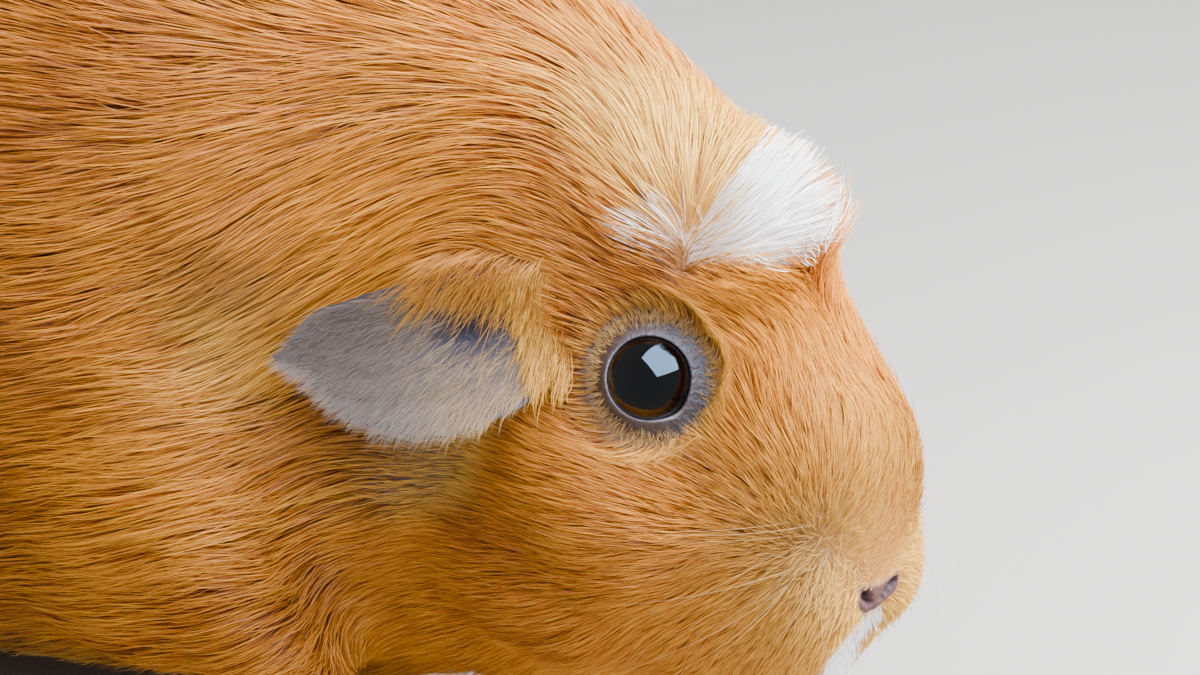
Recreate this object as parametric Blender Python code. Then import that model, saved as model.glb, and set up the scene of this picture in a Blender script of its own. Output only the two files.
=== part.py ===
"""An adult crested guinea pig, life size, standing low with its head turned and lowered.

The animal faces +X, with its right side towards -Y and the soles of its feet at z = 0.
The flesh is modelled whole, out to the tips of the coat, from lofted and rounded forms that
one remesh melts together. Thin shells and slabs then part it into head, neck, trunk, legs
and feet. Eyes and claws are pieces of their own in sockets, and each ear is a thin petal
trimmed to the side of the head.
"""

import math

import bmesh
import bpy
from mathutils import Matrix, Vector

MM = 0.001

# Driving sizes, out to the tips of the coat.
GAP = 0.35 * MM  # clearance between neighbouring pieces
EYE_HEIGHT = 64 * MM  # from the floor to the line through both eyes
HEAD_PITCH = math.radians(25)  # nose lowered
HEAD_YAW = math.radians(-8)  # head turned to its right
EYE_SPREAD = 39.6 * MM  # across the fronts of both eyes
EYE_RADIUS = 5.6 * MM
EYE_SETBACK = 2.8 * MM  # behind and below the middle of the head's frame
EYE_DROP = 3.2 * MM
EAR_LENGTH = 35 * MM
EAR_WIDTH = 19 * MM
EAR_THICKNESS = 1.3 * MM
EAR_CUP = 2.6 * MM  # how far its edges stand out from its hollow
EAR_DROOP = 1.8 * MM  # how far its root bends in
EAR_SHIFT = Vector((-29, 29, -1.8)) * MM  # its middle, from the middle of the eyes
FORE_TOES = 4
FORE_TOE_LENGTH = 13.5 * MM
HIND_TOES = 3
HIND_TOE_LENGTH = 17 * MM
TOE_RADII = (2.9 * MM, 2.3 * MM)
TOE_TIP_HEIGHT = 2.2 * MM
TOE_ROOT = 0.25  # of the toe's length, ahead of the palm
OUTER_TOES_SHORTER = 0.9
CLAW_LENGTH = 6 * MM
CLAW_RADIUS = 0.95 * MM
CLAW_TAPER = 0.72
CLAW_RISE = 0.4 * MM  # of its base above the middle of the toe's tip
CLAW_CURVE = 1.3 * MM  # how far its point curves down

# How finely the flesh is remeshed, and how many triangles it keeps.
VOXEL = 1.1 * MM
TOE_SMOOTHINGS = 3
BODY_SMOOTHINGS = 16
FEET_HEIGHT = 18 * MM  # flesh above this is smoothed more
FLESH_TRIANGLES = 2950

HEAD = (
    Matrix.Translation((0, 0, EYE_HEIGHT))
    @ Matrix.Rotation(HEAD_YAW, 4, "Z")
    @ Matrix.Rotation(HEAD_PITCH, 4, "Y")
)

# Oval sections of the body: distance behind the eyes, bottom, top and half width.
BODY_SECTIONS = (
    (12, 18, 94, 22),
    (30, 13, 104, 25),
    (46, 10, 109, 30),
    (62, 8, 110, 37),
    (84, 6, 110, 43),
    (115, 5, 108, 48),
    (150, 5, 101, 48),
    (178, 8, 90, 42),
    (197, 16, 76, 29),
    (207, 28, 62, 14),
)
BODY_FULLNESS = 0.95
HEAD_FULLNESS = 0.88
SWAY = 4.5  # how far the neck bends to the left, behind the turned head
SWAY_AT = 36
SWAY_REACH = 30

# What parts the body: slabs (distance along X, tilt) and, on each side, ellipsoids around
# the limbs, in the order they cut.
SLAB_RADIUS = 80 * MM
HEAD_SLAB = (-27, -14)  # in the head's frame
NECK_SLAB = (-50, -6)
LIMB_SHELLS = (
    ("fore_foot", (-37, 20, 2), (20, 13, 12)),
    ("hind_foot", (-154, 31.5, 2), (37, 12.5, 11)),
    ("foreleg", (-56, 31, 22), (24, 22, 20)),
    ("hind_leg", (-153, 44, 39), (37, 26, 34)),
)

# The left limbs, in millimetres behind the eyes, aside and above the floor, with radii.
ELBOW, ELBOW_RADIUS = (-60, 26, 31), 12
WRIST, WRIST_RADIUS = (-48, 20, 9), 6.3
PALM, PALM_RADIUS = (-39, 20, 3.9), 5.2
KNEE, KNEE_RADIUS = (-134, 35, 28), 14
HEEL, HEEL_RADIUS = (-173, 29, 5.4), 7
BALL, BALL_RADIUS = (-143, 33, 4), 5.5

# Rounded forms on each side: centre, radii and tilt about Y, in millimetres and degrees.
SIDE_HEAD_FORMS = (
    ((-3, 12, -20.5), (19, 14.5, 15.5), 0),  # cheek
    ((-8, 11.5, -33.5), (20, 14, 14), 0),  # jowl
    ((22.5, 6.5, -20), (8.5, 7.5, 9.5), 0),  # whisker pad
)
SIDE_BODY_FORMS = (
    ((-74, 21, 44), (26, 20, 31), -15),  # shoulder
    ((-150, 27, 45), (38, 24, 34), 20),  # haunch
)
MIDDLE_HEAD_FORMS = (
    ((24.5, 0, -18.5), (5.0, 6.5, 5.5), 0),  # nose
    ((22, 0, -32.5), (8, 8, 7.5), 0),  # chin
    ((-12.5, 0, 8.5), (17, 16, 13.5), 0),  # crest of hair
)

# Oval sections of the head, ahead of the eyes in its own frame: bottom, top and half width.
HEAD_SECTIONS = (
    (-30, -43, 16, 21),
    (-16, -46, 19, 21),
    (-4, -47.5, 15, 19),
    (6, -46.5, 9.5, 18),
    (14, -43.5, 6, 16.5),
    (21, -39, 3.5, 14),
    (26.2, -36, -4, 11),
    (28.7, -34, -12, 7.5),
)


def clear_scene():
    for thing in list(bpy.data.objects):
        bpy.data.objects.remove(thing)


def material(name, colour, roughness):
    made = bpy.data.materials.new(name)
    made.use_nodes = True
    shader = made.node_tree.nodes["Principled BSDF"]
    shader.inputs["Base Color"].default_value = (*colour, 1)
    shader.inputs["Roughness"].default_value = roughness
    made.diffuse_color = (*colour, 1)
    return made


def new_object(name, bm, slot=None):
    """A mesh object made from bm, which is freed."""
    mesh = bpy.data.meshes.new(name)
    bm.to_mesh(mesh)
    bm.free()
    mesh.shade_smooth()
    made = bpy.data.objects.new(name, mesh)
    bpy.context.scene.collection.objects.link(made)
    if slot:
        mesh.materials.append(slot)
    return made


def helper(made):
    """Marks an object that only cuts, so that it isn't a piece."""
    made.hide_render = True
    made.display_type = "WIRE"
    return made


def loft(bm, places, sides, fullness=1):
    """Bridges rounded rings set at the given matrices, each in its XY plane, and caps both ends.

    A fullness of 1 makes ellipses, and less than 1 makes them squarer.
    """
    rings = []
    for place in places:
        made = bmesh.ops.create_circle(bm, segments=sides, radius=1)
        for vert in made["verts"]:
            for axis in (0, 1):
                reach = vert.co[axis]
                vert.co[axis] = math.copysign(abs(reach) ** fullness, reach)
            vert.co = place @ vert.co
        rings.append({edge for vert in made["verts"] for edge in vert.link_edges})
    for ring, following in zip(rings, rings[1:]):
        bmesh.ops.bridge_loops(bm, edges=list(ring | following))
    for ring in (rings[0], rings[-1]):
        bmesh.ops.contextual_create(bm, geom=list(ring))
    skin = {face for ring in rings for edge in ring for face in edge.link_faces}
    bmesh.ops.recalc_face_normals(bm, faces=list(skin))


def eased(rows, steps=5):
    """The rows with smooth steps between them, on Catmull-Rom curves."""
    ends = [rows[0], *rows, rows[-1]]
    for before, start, end, after in zip(ends, ends[1:], ends[2:], ends[3:]):
        for step in range(steps):
            t = step / steps
            yield tuple(
                b + 0.5 * t * (c - a + t * (2 * a - 5 * b + 4 * c - d + t * (3 * b - 3 * c + d - a)))
                for a, b, c, d in zip(before, start, end, after)
            )
    yield rows[-1]


def sections(rows, frame, heading, sway=0):
    """Loft matrices for rows of (distance, bottom, top, half width) in millimetres along X."""
    turn = Matrix.Rotation(math.radians(90), 4, "Y")
    for distance, bottom, top, half_width in eased(rows):
        aside = sway * math.exp(-(((distance - SWAY_AT) / SWAY_REACH) ** 2))
        centre = Vector((heading * distance, aside, (bottom + top) / 2)) * MM
        size = Matrix.Diagonal(((top - bottom) / 2 * MM, half_width * MM, 1, 1))
        yield frame @ Matrix.Translation(centre) @ turn @ size


def blob(bm, frame, side, centre, radii, tilt):
    """An ellipsoid at centre in frame, mirrored across for side -1, sizes in millimetres."""
    centre = Vector(centre) * Vector((1, side, 1))
    place = (
        frame
        @ Matrix.Translation(centre * MM)
        @ Matrix.Rotation(math.radians(tilt), 4, "Y")
        @ Matrix.Diagonal((*(radius * MM for radius in radii), 1))
    )
    bmesh.ops.create_icosphere(bm, subdivisions=4, radius=1, matrix=place)


def limb(bm, points, radii, sides=12):
    """A rounded limb through points, with a radius at each."""
    for number, (start, end) in enumerate(zip(points, points[1:])):
        along = end - start
        turn = along.to_track_quat("Z", "Y").to_matrix().to_4x4()
        bmesh.ops.create_cone(
            bm,
            cap_ends=True,
            segments=sides,
            radius1=radii[number],
            radius2=radii[number + 1],
            depth=along.length,
            matrix=Matrix.Translation((start + end) / 2) @ turn,
        )
    for point, radius in zip(points, radii):
        place = Matrix.Translation(point)
        bmesh.ops.create_icosphere(bm, subdivisions=2, radius=radius, matrix=place)


def on_side(point, side):
    """A point given in millimetres for the left, in metres for side 1 (left) or -1 (right)."""
    return Vector(point) * Vector((1, side, 1)) * MM


def toes(count, palm, length, spread, heading):
    """Root and tip of each toe: fanned out ahead of the palm, tips close to the floor."""
    ends = []
    for number in range(count):
        share = number / (count - 1) - 0.5
        turn = Matrix.Rotation(heading + share * spread, 3, "Z")
        direction = turn @ Vector((1, 0, 0))
        root = palm + direction * length * TOE_ROOT
        tip = palm + direction * length * (1 - OUTER_TOES_SHORTER * share * share)
        tip.z = TOE_TIP_HEIGHT
        ends.append((root, tip))
    return ends


def fore_toes(side):
    palm = on_side(PALM, side)
    spread, heading = math.radians(62), math.radians(4 * side)
    return toes(FORE_TOES, palm, FORE_TOE_LENGTH, spread, heading)


def hind_toes(side):
    ball = on_side(BALL, side)
    spread, heading = math.radians(36), math.radians(8 * side)
    return toes(HIND_TOES, ball, HIND_TOE_LENGTH, spread, heading)


def add_legs(bm):
    legs = (
        ((ELBOW, WRIST, PALM), (ELBOW_RADIUS, WRIST_RADIUS, PALM_RADIUS)),
        ((KNEE, HEEL, BALL), (KNEE_RADIUS, HEEL_RADIUS, BALL_RADIUS)),
    )
    for side in (-1, 1):
        for points, radii in legs:
            places = [on_side(point, side) for point in points]
            limb(bm, places, [radius * MM for radius in radii])
        for root, tip in fore_toes(side) + hind_toes(side):
            limb(bm, (root, tip), TOE_RADII)


def overlapping_forms():
    """Body, head and limbs as closed shapes that run into each other."""
    bm = bmesh.new()
    loft(bm, sections(BODY_SECTIONS, Matrix.Identity(4), -1, SWAY), 48, BODY_FULLNESS)
    loft(bm, sections(HEAD_SECTIONS, HEAD, 1), 40, HEAD_FULLNESS)
    for side in (-1, 1):
        for form in SIDE_HEAD_FORMS:
            blob(bm, HEAD, side, *form)
        for form in SIDE_BODY_FORMS:
            blob(bm, Matrix.Identity(4), side, *form)
    for form in MIDDLE_HEAD_FORMS:
        blob(bm, HEAD, 1, *form)
    add_legs(bm)
    return bm


def flesh():
    """The whole body as one mesh: the forms melted together, smoothed and simplified."""
    made = new_object("flesh", overlapping_forms())
    remesh = made.modifiers.new("melt", "REMESH")
    remesh.mode = "VOXEL"
    remesh.voxel_size = VOXEL
    apply_modifiers(made)
    body = made.vertex_groups.new(name="body")
    above = [vert.index for vert in made.data.vertices if vert.co.z > FEET_HEIGHT]
    body.add(above, 1, "REPLACE")
    for name, rounds in (("", TOE_SMOOTHINGS), ("body", BODY_SMOOTHINGS)):
        smooth = made.modifiers.new("smooth", "SMOOTH")
        smooth.iterations = rounds
        smooth.vertex_group = name
    apply_modifiers(made)
    reduce = made.modifiers.new("reduce", "DECIMATE")
    reduce.ratio = FLESH_TRIANGLES / (2 * len(made.data.polygons))
    apply_modifiers(made)
    flatten_soles(made)
    return made


def apply_modifiers(made):
    graph = bpy.context.evaluated_depsgraph_get()
    mesh = bpy.data.meshes.new_from_object(made.evaluated_get(graph))
    made.modifiers.clear()
    made.data = mesh


def flatten_soles(made):
    """Cuts the feet level at the floor."""
    bm = bmesh.new()
    bm.from_mesh(made.data)
    cut = bmesh.ops.bisect_plane(
        bm,
        geom=bm.verts[:] + bm.edges[:] + bm.faces[:],
        plane_co=(0, 0, 0),
        plane_no=(0, 0, 1),
        clear_inner=True,
    )
    rims = [part for part in cut["geom_cut"] if isinstance(part, bmesh.types.BMEdge)]
    bmesh.ops.holes_fill(bm, edges=rims, sides=0)
    bmesh.ops.triangulate(bm, faces=bm.faces)
    bm.to_mesh(made.data)
    bm.free()


def cut_away(made, cutters):
    """Subtracts each cutter from made."""
    for cutter in cutters:
        cut = made.modifiers.new("cut", "BOOLEAN")
        cut.operation = "DIFFERENCE"
        cut.object = cutter
    apply_modifiers(made)
    for cutter in cutters:
        bpy.data.objects.remove(cutter)


def slab(frame, distance, tilt):
    """A thin upright disc right across the body at distance along the frame's X."""
    bm = bmesh.new()
    bmesh.ops.create_cone(
        bm,
        cap_ends=True,
        segments=32,
        radius1=SLAB_RADIUS,
        radius2=SLAB_RADIUS,
        depth=GAP,
        matrix=frame
        @ Matrix.Translation((distance * MM, 0, 0))
        @ Matrix.Rotation(math.radians(90 + tilt), 4, "Y"),
    )
    return helper(new_object("slab", bm))


def shell(centre, radii):
    """A thin ellipsoidal shell: flesh inside it comes away as a piece of its own."""
    bm = bmesh.new()
    for inset in (0, GAP):
        size = [radius * MM - inset for radius in radii]
        place = Matrix.Translation(centre) @ Matrix.Diagonal((*size, 1))
        ball = bmesh.ops.create_uvsphere(
            bm, u_segments=16, v_segments=8, radius=1, matrix=place
        )
        if inset:
            inner = {face for vert in ball["verts"] for face in vert.link_faces}
            bmesh.ops.reverse_faces(bm, faces=list(inner))
    return helper(new_object("shell", bm))


def eye_ball(name, side, grow, slot=None):
    """The ball of one eye, set so that its front lies at half the eyes' spread."""
    bm = bmesh.new()
    spread = side * (EYE_SPREAD / 2 - EYE_RADIUS)
    centre = Vector((-EYE_SETBACK, spread, -EYE_DROP))
    bmesh.ops.create_uvsphere(
        bm,
        u_segments=18,
        v_segments=10,
        radius=EYE_RADIUS + grow,
        matrix=HEAD @ Matrix.Translation(centre),
    )
    return new_object(name, bm, slot)


def ear_frame(side):
    """X runs from the ear's root to its tip, Y up across it, and Z through it."""
    along = Vector((-0.859, side * 0.421, -0.292)).normalized()
    upward = Vector((0, -side * 0.25, 1))
    across = (upward - upward.dot(along) * along).normalized()
    turn = Matrix((along, across, along.cross(across))).transposed().to_4x4()
    level = Matrix.Translation((0, 0, EYE_HEIGHT)) @ Matrix.Rotation(HEAD_YAW, 4, "Z")
    return level @ Matrix.Translation(EAR_SHIFT * Vector((1, side, 1))) @ turn


def ear_petal(name, side, slot):
    """A drooping petal: a flat oval, narrowed to its tip and cupped across its width."""
    bm = bmesh.new()
    bmesh.ops.create_uvsphere(bm, u_segments=20, v_segments=8, radius=1)
    for vert in bm.verts:
        along, across, through = vert.co
        narrowing = 1 - 0.16 * along - 0.10 * along * along
        lower = 1.12 if across < 0 else 0.92
        hollow = EAR_CUP * across * across * (1 - 0.5 * along)
        hollow -= EAR_DROOP * (along - 0.3) ** 2
        vert.co = (
            along * EAR_LENGTH / 2,
            across * narrowing * lower * EAR_WIDTH / 2,
            through * EAR_THICKNESS / 2 + hollow * side,
        )
    bm.transform(ear_frame(side))
    return new_object(name, bm, slot)


def ear(name, side, whole, slot):
    """The petal, trimmed where it comes within the gap of the flesh it grows from."""
    body = bpy.data.objects.new("trimmer", whole.data.copy())
    bpy.context.scene.collection.objects.link(body)
    swell = body.modifiers.new("swell", "DISPLACE")
    swell.strength = GAP
    swell.mid_level = 0
    apply_modifiers(body)
    made = ear_petal(name, side, slot)
    cut_away(made, [helper(body)])
    petal, *crumbs = loose_pieces(made)
    for crumb in crumbs:
        bpy.data.objects.remove(crumb)
    petal.name = name
    petal.data.shade_smooth()
    return petal


def claw(name, root, tip, grow, slot=None):
    """A claw that curves down from a toe's tip, with its base sunk into the toe."""
    bm = bmesh.new()
    level = (tip - root) * Vector((1, 1, 0))
    turn = level.to_track_quat("Z", "Y").to_matrix().to_4x4()
    rings = 4
    places = []
    for number in range(rings):
        share = number / (rings - 1)
        ahead = level.normalized() * (share * (CLAW_LENGTH + 2 * grow) - grow)
        rise = Vector((0, 0, CLAW_RISE - CLAW_CURVE * share * share))
        radius = CLAW_RADIUS * (1 - CLAW_TAPER * share) + grow
        places.append(
            Matrix.Translation(tip + ahead + rise)
            @ turn
            @ Matrix.Diagonal((radius, radius, 1, 1))
        )
    loft(bm, places, sides=7)
    return new_object(name, bm, slot)


def claws():
    """Name, root and tip of the toe for each claw."""
    for side, side_name in ((-1, "right"), (1, "left")):
        for foot, toes_of in (("fore", fore_toes), ("hind", hind_toes)):
            for number, (root, tip) in enumerate(toes_of(side), start=1):
                yield f"claw_{foot}_{side_name}_{number}", root, tip


def loose_pieces(whole):
    """Splits an object into its loose pieces, largest first."""
    before = set(bpy.data.objects)
    bpy.ops.object.select_all(action="DESELECT")
    bpy.context.view_layer.objects.active = whole
    whole.select_set(True)
    bpy.ops.object.mode_set(mode="EDIT")
    bpy.ops.mesh.separate(type="LOOSE")
    bpy.ops.object.mode_set(mode="OBJECT")
    pieces = [whole] + [made for made in bpy.data.objects if made not in before]
    return sorted(pieces, key=lambda piece: -len(piece.data.vertices))


def middle_of(made):
    corners = [Vector(corner) for corner in made.bound_box]
    return sum(corners, Vector()) / len(corners)


def name_pieces(pieces, places):
    """Names the largest piece near each place, given in millimetres, and drops crumbs."""
    for piece in pieces:
        near = min(places, key=lambda name: (places[name] * MM - middle_of(piece)).length)
        if near in bpy.data.objects:
            bpy.data.objects.remove(piece)
        else:
            piece.name = near


def part_flesh(whole, slots):
    """Parts the legs and feet from the body with shells, then the body with slabs."""
    body = whole
    limbs = []
    for kind, middle, radii in LIMB_SHELLS:
        places = {}
        for side, name in ((-1, "right"), (1, "left")):
            places[f"{kind}_{name}"] = Vector(middle) * Vector((1, side, 1))
        cut_away(body, [shell(place * MM, radii) for place in places.values()])
        body, *pieces = loose_pieces(body)
        name_pieces(pieces, places)
        limbs += places
    level = Matrix.Translation((0, 0, EYE_HEIGHT))
    cut_away(body, [slab(HEAD, *HEAD_SLAB), slab(level, *NECK_SLAB)])
    middles = {
        "head": Vector((-10, 0, 50)),
        "neck": Vector((-40, 0, 55)),
        "trunk": Vector((-120, 0, 52)),
    }
    name_pieces(loose_pieces(body), middles)
    for name in [*limbs, *middles]:
        made = bpy.data.objects[name]
        made.data.materials.clear()
        made.data.materials.append(slots["foot_skin" if "foot" in name else "coat"])
        made.data.shade_smooth()


def centre_on_floor():
    """Moves everything so that the origin is under the middle of the whole animal."""
    corners = [
        made.matrix_world @ Vector(corner)
        for made in bpy.data.objects
        for corner in made.bound_box
    ]
    low, high = (
        [pick(corner[axis] for corner in corners) for axis in range(3)]
        for pick in (min, max)
    )
    shift = Matrix.Translation((-(low[0] + high[0]) / 2, -(low[1] + high[1]) / 2, 0))
    for made in bpy.data.objects:
        made.data.transform(shift)


def build():
    clear_scene()
    slots = {
        "coat": material("coat", (0.47, 0.20, 0.055), 0.75),
        "ear_skin": material("ear_skin", (0.30, 0.22, 0.22), 0.6),
        "foot_skin": material("foot_skin", (0.45, 0.24, 0.17), 0.6),
        "eye": material("eye", (0.012, 0.008, 0.007), 0.05),
        "claw": material("claw", (0.10, 0.07, 0.055), 0.35),
    }
    whole = flesh()
    for side, name in ((-1, "right"), (1, "left")):
        ear(f"ear_{name}", side, whole, slots["ear_skin"])
    sockets = [eye_ball("socket", side, GAP) for side in (-1, 1)]
    sockets += [claw("socket", root, tip, GAP) for _, root, tip in claws()]
    cut_away(whole, [helper(socket) for socket in sockets])
    part_flesh(whole, slots)
    for side, name in ((-1, "right"), (1, "left")):
        eye_ball(f"eye_{name}", side, 0, slots["eye"])
    for name, root, tip in claws():
        claw(name, root, tip, 0, slots["claw"])
    centre_on_floor()


build()
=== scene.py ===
# %% [markdown]
# # A crested guinea pig
# This lesson dresses a solid model of a guinea pig. The solids say where the body is, out to
# the tips of its coat. Over them go one skin, two eyes with their lids, two thin ears, claws
# and a coat of some three hundred thousand fine tufts, each a narrow blade of a few faces.

import math

import bmesh
import bpy
import numpy as np
from mathutils import Matrix, Vector
from mathutils.bvhtree import BVHTree
from mathutils.kdtree import KDTree


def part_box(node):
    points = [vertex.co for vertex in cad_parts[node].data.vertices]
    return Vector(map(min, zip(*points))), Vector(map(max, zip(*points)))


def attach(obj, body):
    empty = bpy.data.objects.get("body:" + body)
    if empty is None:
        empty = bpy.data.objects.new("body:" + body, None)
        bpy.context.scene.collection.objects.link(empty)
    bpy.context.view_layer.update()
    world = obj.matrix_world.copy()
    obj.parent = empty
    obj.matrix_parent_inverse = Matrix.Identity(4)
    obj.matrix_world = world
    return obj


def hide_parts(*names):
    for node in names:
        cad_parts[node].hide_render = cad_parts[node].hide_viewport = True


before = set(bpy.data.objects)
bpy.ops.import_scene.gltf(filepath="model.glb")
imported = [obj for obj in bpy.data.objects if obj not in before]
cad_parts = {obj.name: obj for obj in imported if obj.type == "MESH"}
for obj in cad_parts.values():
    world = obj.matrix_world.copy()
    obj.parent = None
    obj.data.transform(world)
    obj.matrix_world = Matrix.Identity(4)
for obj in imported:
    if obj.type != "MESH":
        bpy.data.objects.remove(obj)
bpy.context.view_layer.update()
MM = 0.001
random = np.random.default_rng(11)
print("solids loaded:", len(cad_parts))

# %% [markdown]
# ## Places on the animal
# Everything on the head is easiest to say in the head's own frame: x ahead towards the nose,
# y to its left and z up, in millimetres from the middle between the eyes. The head is turned
# a little to its right and lowered, so one matrix carries points between the two frames.

# %% The head's own frame
HEAD_YAW = math.radians(-8)
HEAD_PITCH = math.radians(25)
head_turn = Matrix.Rotation(HEAD_YAW, 4, "Z") @ Matrix.Rotation(HEAD_PITCH, 4, "Y")
head_axes = np.array(head_turn.to_3x3())

EYE_MIDDLE = np.array((-2.8, 14.2, -3.2))
EYE_RADIUS = 5.6
NOSE = np.array((29.1, 0.0, -17.3))
PAD = np.array((24.5, 8.6, -10.5))
WHORL = np.array((-6.4, -11.2, 15.8))
CREST_MIDDLE = np.array((-10.0, 0.0, 16.0))
CREST_REACH = np.array((11.8, 12.8, 30.0))

eye_corners = [corner for name in ("eye_right", "eye_left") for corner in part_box(name)]
between_eyes = np.mean([tuple(corner) for corner in eye_corners], axis=0) / MM
head_middle = between_eyes - head_axes @ (EYE_MIDDLE * (1, 0, 1))


def in_head(points):
    """Points of the whole animal's frame, in millimetres, told in the head's frame."""
    return (points - head_middle) @ head_axes


def from_head(points):
    """The other way round: points told in the head's frame, in the whole animal's."""
    return points @ head_axes.T + head_middle


def unit(vectors):
    return vectors / np.maximum(np.linalg.norm(vectors, axis=-1, keepdims=True), 1e-9)


def ease(values, start, end):
    """0 before start and 1 after end, with a smooth rise between them."""
    share = np.clip((values - start) / (end - start), 0, 1)
    return share * share * (3 - 2 * share)


def fade(values, start, end):
    """1 before start and 0 after end."""
    return 1 - ease(values, start, end)


def below(points, start, end):
    """1 lower down than start and 0 above end, in millimetres over the floor."""
    return fade(points[:, 2], start, end)


def beside(ahead, place):
    """From a place that both sides of the head have to each point, on that point's own side."""
    own = np.where(ahead[:, 1:2] < 0, -1, 1) * (0, 1, 0) + (1, 0, 1)
    return ahead - place * own


def folded(points):
    """The same places, with those on the right side carried over to the left."""
    return points * (1, 0, 1) + np.abs(points * (0, 1, 0))


def bump_at(points, middle, reach):
    """1 at a place, falling smoothly to 0 around it."""
    away = np.linalg.norm((points - middle) / reach, axis=-1)
    return np.exp(-away * away)


# %% [markdown]
# ## The outer form
# The solids are parted by thin gaps, which a living skin doesn't have. Merged copies of them,
# each swollen by a hair's breadth, overlap, and one voxel remesh melts them into a single
# closed surface. This first surface is the outside of the coat.

# %% Melt the solids together
GAP_SWELL = 0.3
VOXEL = 1.15
SMOOTHINGS = 14
FEET_SMOOTHINGS = 3
FEET_HEIGHT = 16
SIDES = ((-1, "right"), (1, "left"))
FLESH = ["head", "neck", "trunk"] + [
    f"{limb}_{side}"
    for limb in ("foreleg", "hind_leg", "fore_foot", "hind_foot")
    for _, side in SIDES
]


def linked(name, data):
    """A new object for a mesh, a lamp or a lens, placed in the scene."""
    made = bpy.data.objects.new(name, data)
    bpy.context.scene.collection.objects.link(made)
    return made


def new_piece(name, bm):
    mesh = bpy.data.meshes.new(name)
    bm.to_mesh(mesh)
    bm.free()
    mesh.shade_smooth()
    return linked(name, mesh)


def apply_modifiers(made):
    graph = bpy.context.evaluated_depsgraph_get()
    mesh = bpy.data.meshes.new_from_object(made.evaluated_get(graph))
    made.modifiers.clear()
    made.data = mesh


def swollen_copies(nodes):
    """Copies of CAD nodes in one mesh, each merged and swollen so that neighbours overlap."""
    together = bmesh.new()
    for node in nodes:
        part = bmesh.new()
        part.from_mesh(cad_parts[node].data)
        bmesh.ops.remove_doubles(part, verts=part.verts, dist=1e-6)
        part.normal_update()
        for vert in part.verts:
            vert.co += vert.normal * GAP_SWELL * MM
        copy = bpy.data.meshes.new("copy")
        part.to_mesh(copy)
        part.free()
        together.from_mesh(copy)
        bpy.data.meshes.remove(copy)
    return together


def smoothed(made, rounds, group=""):
    smooth = made.modifiers.new("smooth", "SMOOTH")
    smooth.iterations = rounds
    smooth.vertex_group = group


def melted(made):
    """Remeshes made into one closed surface, and smooths it, the feet least."""
    remesh = made.modifiers.new("melt", "REMESH")
    remesh.mode = "VOXEL"
    remesh.voxel_size = VOXEL * MM
    apply_modifiers(made)
    upper = made.vertex_groups.new(name="upper")
    above = [vert.index for vert in made.data.vertices if vert.co.z > FEET_HEIGHT * MM]
    upper.add(above, 1, "REPLACE")
    smoothed(made, FEET_SMOOTHINGS)
    smoothed(made, SMOOTHINGS, "upper")
    apply_modifiers(made)


def points_of(made):
    """A mesh's points, in millimetres."""
    points = np.empty(len(made.data.vertices) * 3, np.float32)
    made.data.vertices.foreach_get("co", points)
    return points.reshape(-1, 3).astype(np.float64) / MM


def edges_of(verts):
    return {edge for vert in verts for edge in vert.link_edges}


def bridged(bm, rings):
    """Joins each ring of edges to the next one with faces."""
    for ring, following in zip(rings, rings[1:]):
        bmesh.ops.bridge_loops(bm, edges=list(ring | following))


def move_points(made, points):
    made.data.vertices.foreach_set("co", (points * MM).astype(np.float32).ravel())
    made.data.update()


skin = new_piece("skin", swollen_copies(FLESH + ["eye_right", "eye_left"]))
melted(skin)
print("outer form:", len(skin.data.polygons), "faces")

# %% [markdown]
# ## How far in, and which way out
# Tufts have to know how deep they lie and which way is out. Asking the mesh three million
# times would be slow, so the distance to it is measured once, on an even grid, and read
# between the grid's points with plain array sums.

# %% Measure distances on a grid
PITCH = 2.0
MARGIN = 8.0


def distance_grid(made):
    """The signed distance to a closed mesh on a grid around it, negative inside."""
    points = points_of(made)
    low = points.min(0) - MARGIN
    counts = np.ceil((points.max(0) + MARGIN - low) / PITCH).astype(int) + 1
    faces = [tuple(face.vertices) for face in made.data.polygons]
    tree = BVHTree.FromPolygons([Vector(point) for point in points], faces)
    spots = np.stack(np.meshgrid(*map(np.arange, counts), indexing="ij"), -1).reshape(-1, 3)
    spots = spots * PITCH + low
    distances = np.empty(len(spots), np.float32)
    for number, spot in enumerate(spots.tolist()):
        place, normal, _, away = tree.find_nearest(spot)
        inside = normal.dot(Vector(spot) - place) < 0
        distances[number] = -away if inside else away
    return low, distances.reshape(counts)


grid_low, distances = distance_grid(skin)
slopes = np.gradient(distances, PITCH)
grid = np.stack([distances, *slopes], -1).astype(np.float32)


def depth_and_outward(points):
    """The distance below the coat's outside, and the way out, at each point."""
    spots = (points - grid_low) / PITCH
    last = np.array(grid.shape[:3]) - 2
    cells = np.clip(np.floor(spots).astype(int), 0, last)
    shares = np.clip(spots - cells, 0, 1)
    found = np.zeros((len(points), 4))
    for corner in np.ndindex(2, 2, 2):
        weights = np.prod(np.where(corner, shares, 1 - shares), axis=1)
        found += grid[tuple((cells + corner).T)] * weights[:, None]
    return -found[:, 0], unit(found[:, 1:])


print("grid of distances:", grid.shape)

# %% [markdown]
# ## The skin
# The coat is deep on the trunk and neck, thin on the face and a mere down on the feet. The
# skin is the outer form moved in by that depth, so that the tips of the coat come out where
# the solids say.

# %% Depth of the coat
BODY_DEPTH, LOW_DEPTH, FOOT_DEPTH = 6.8, 3.2, 0.35
FACE_DEPTH, CREST_DEPTH = 2.6, 2.8
FOLD_MIDDLE, FOLD_REACH = (40, 23.5, 71), (9, 8, 8)
FOLD_DEPTH = 3.4


def head_share(points):
    """1 on the head and 0 on the body, with the change just behind the ears."""
    return ease(in_head(points)[:, 0], -36, -20)


def fold_share(points):
    """1 in the fold between neck and shoulder, behind each ear."""
    return bump_at(folded(points), FOLD_MIDDLE, FOLD_REACH)


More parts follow.
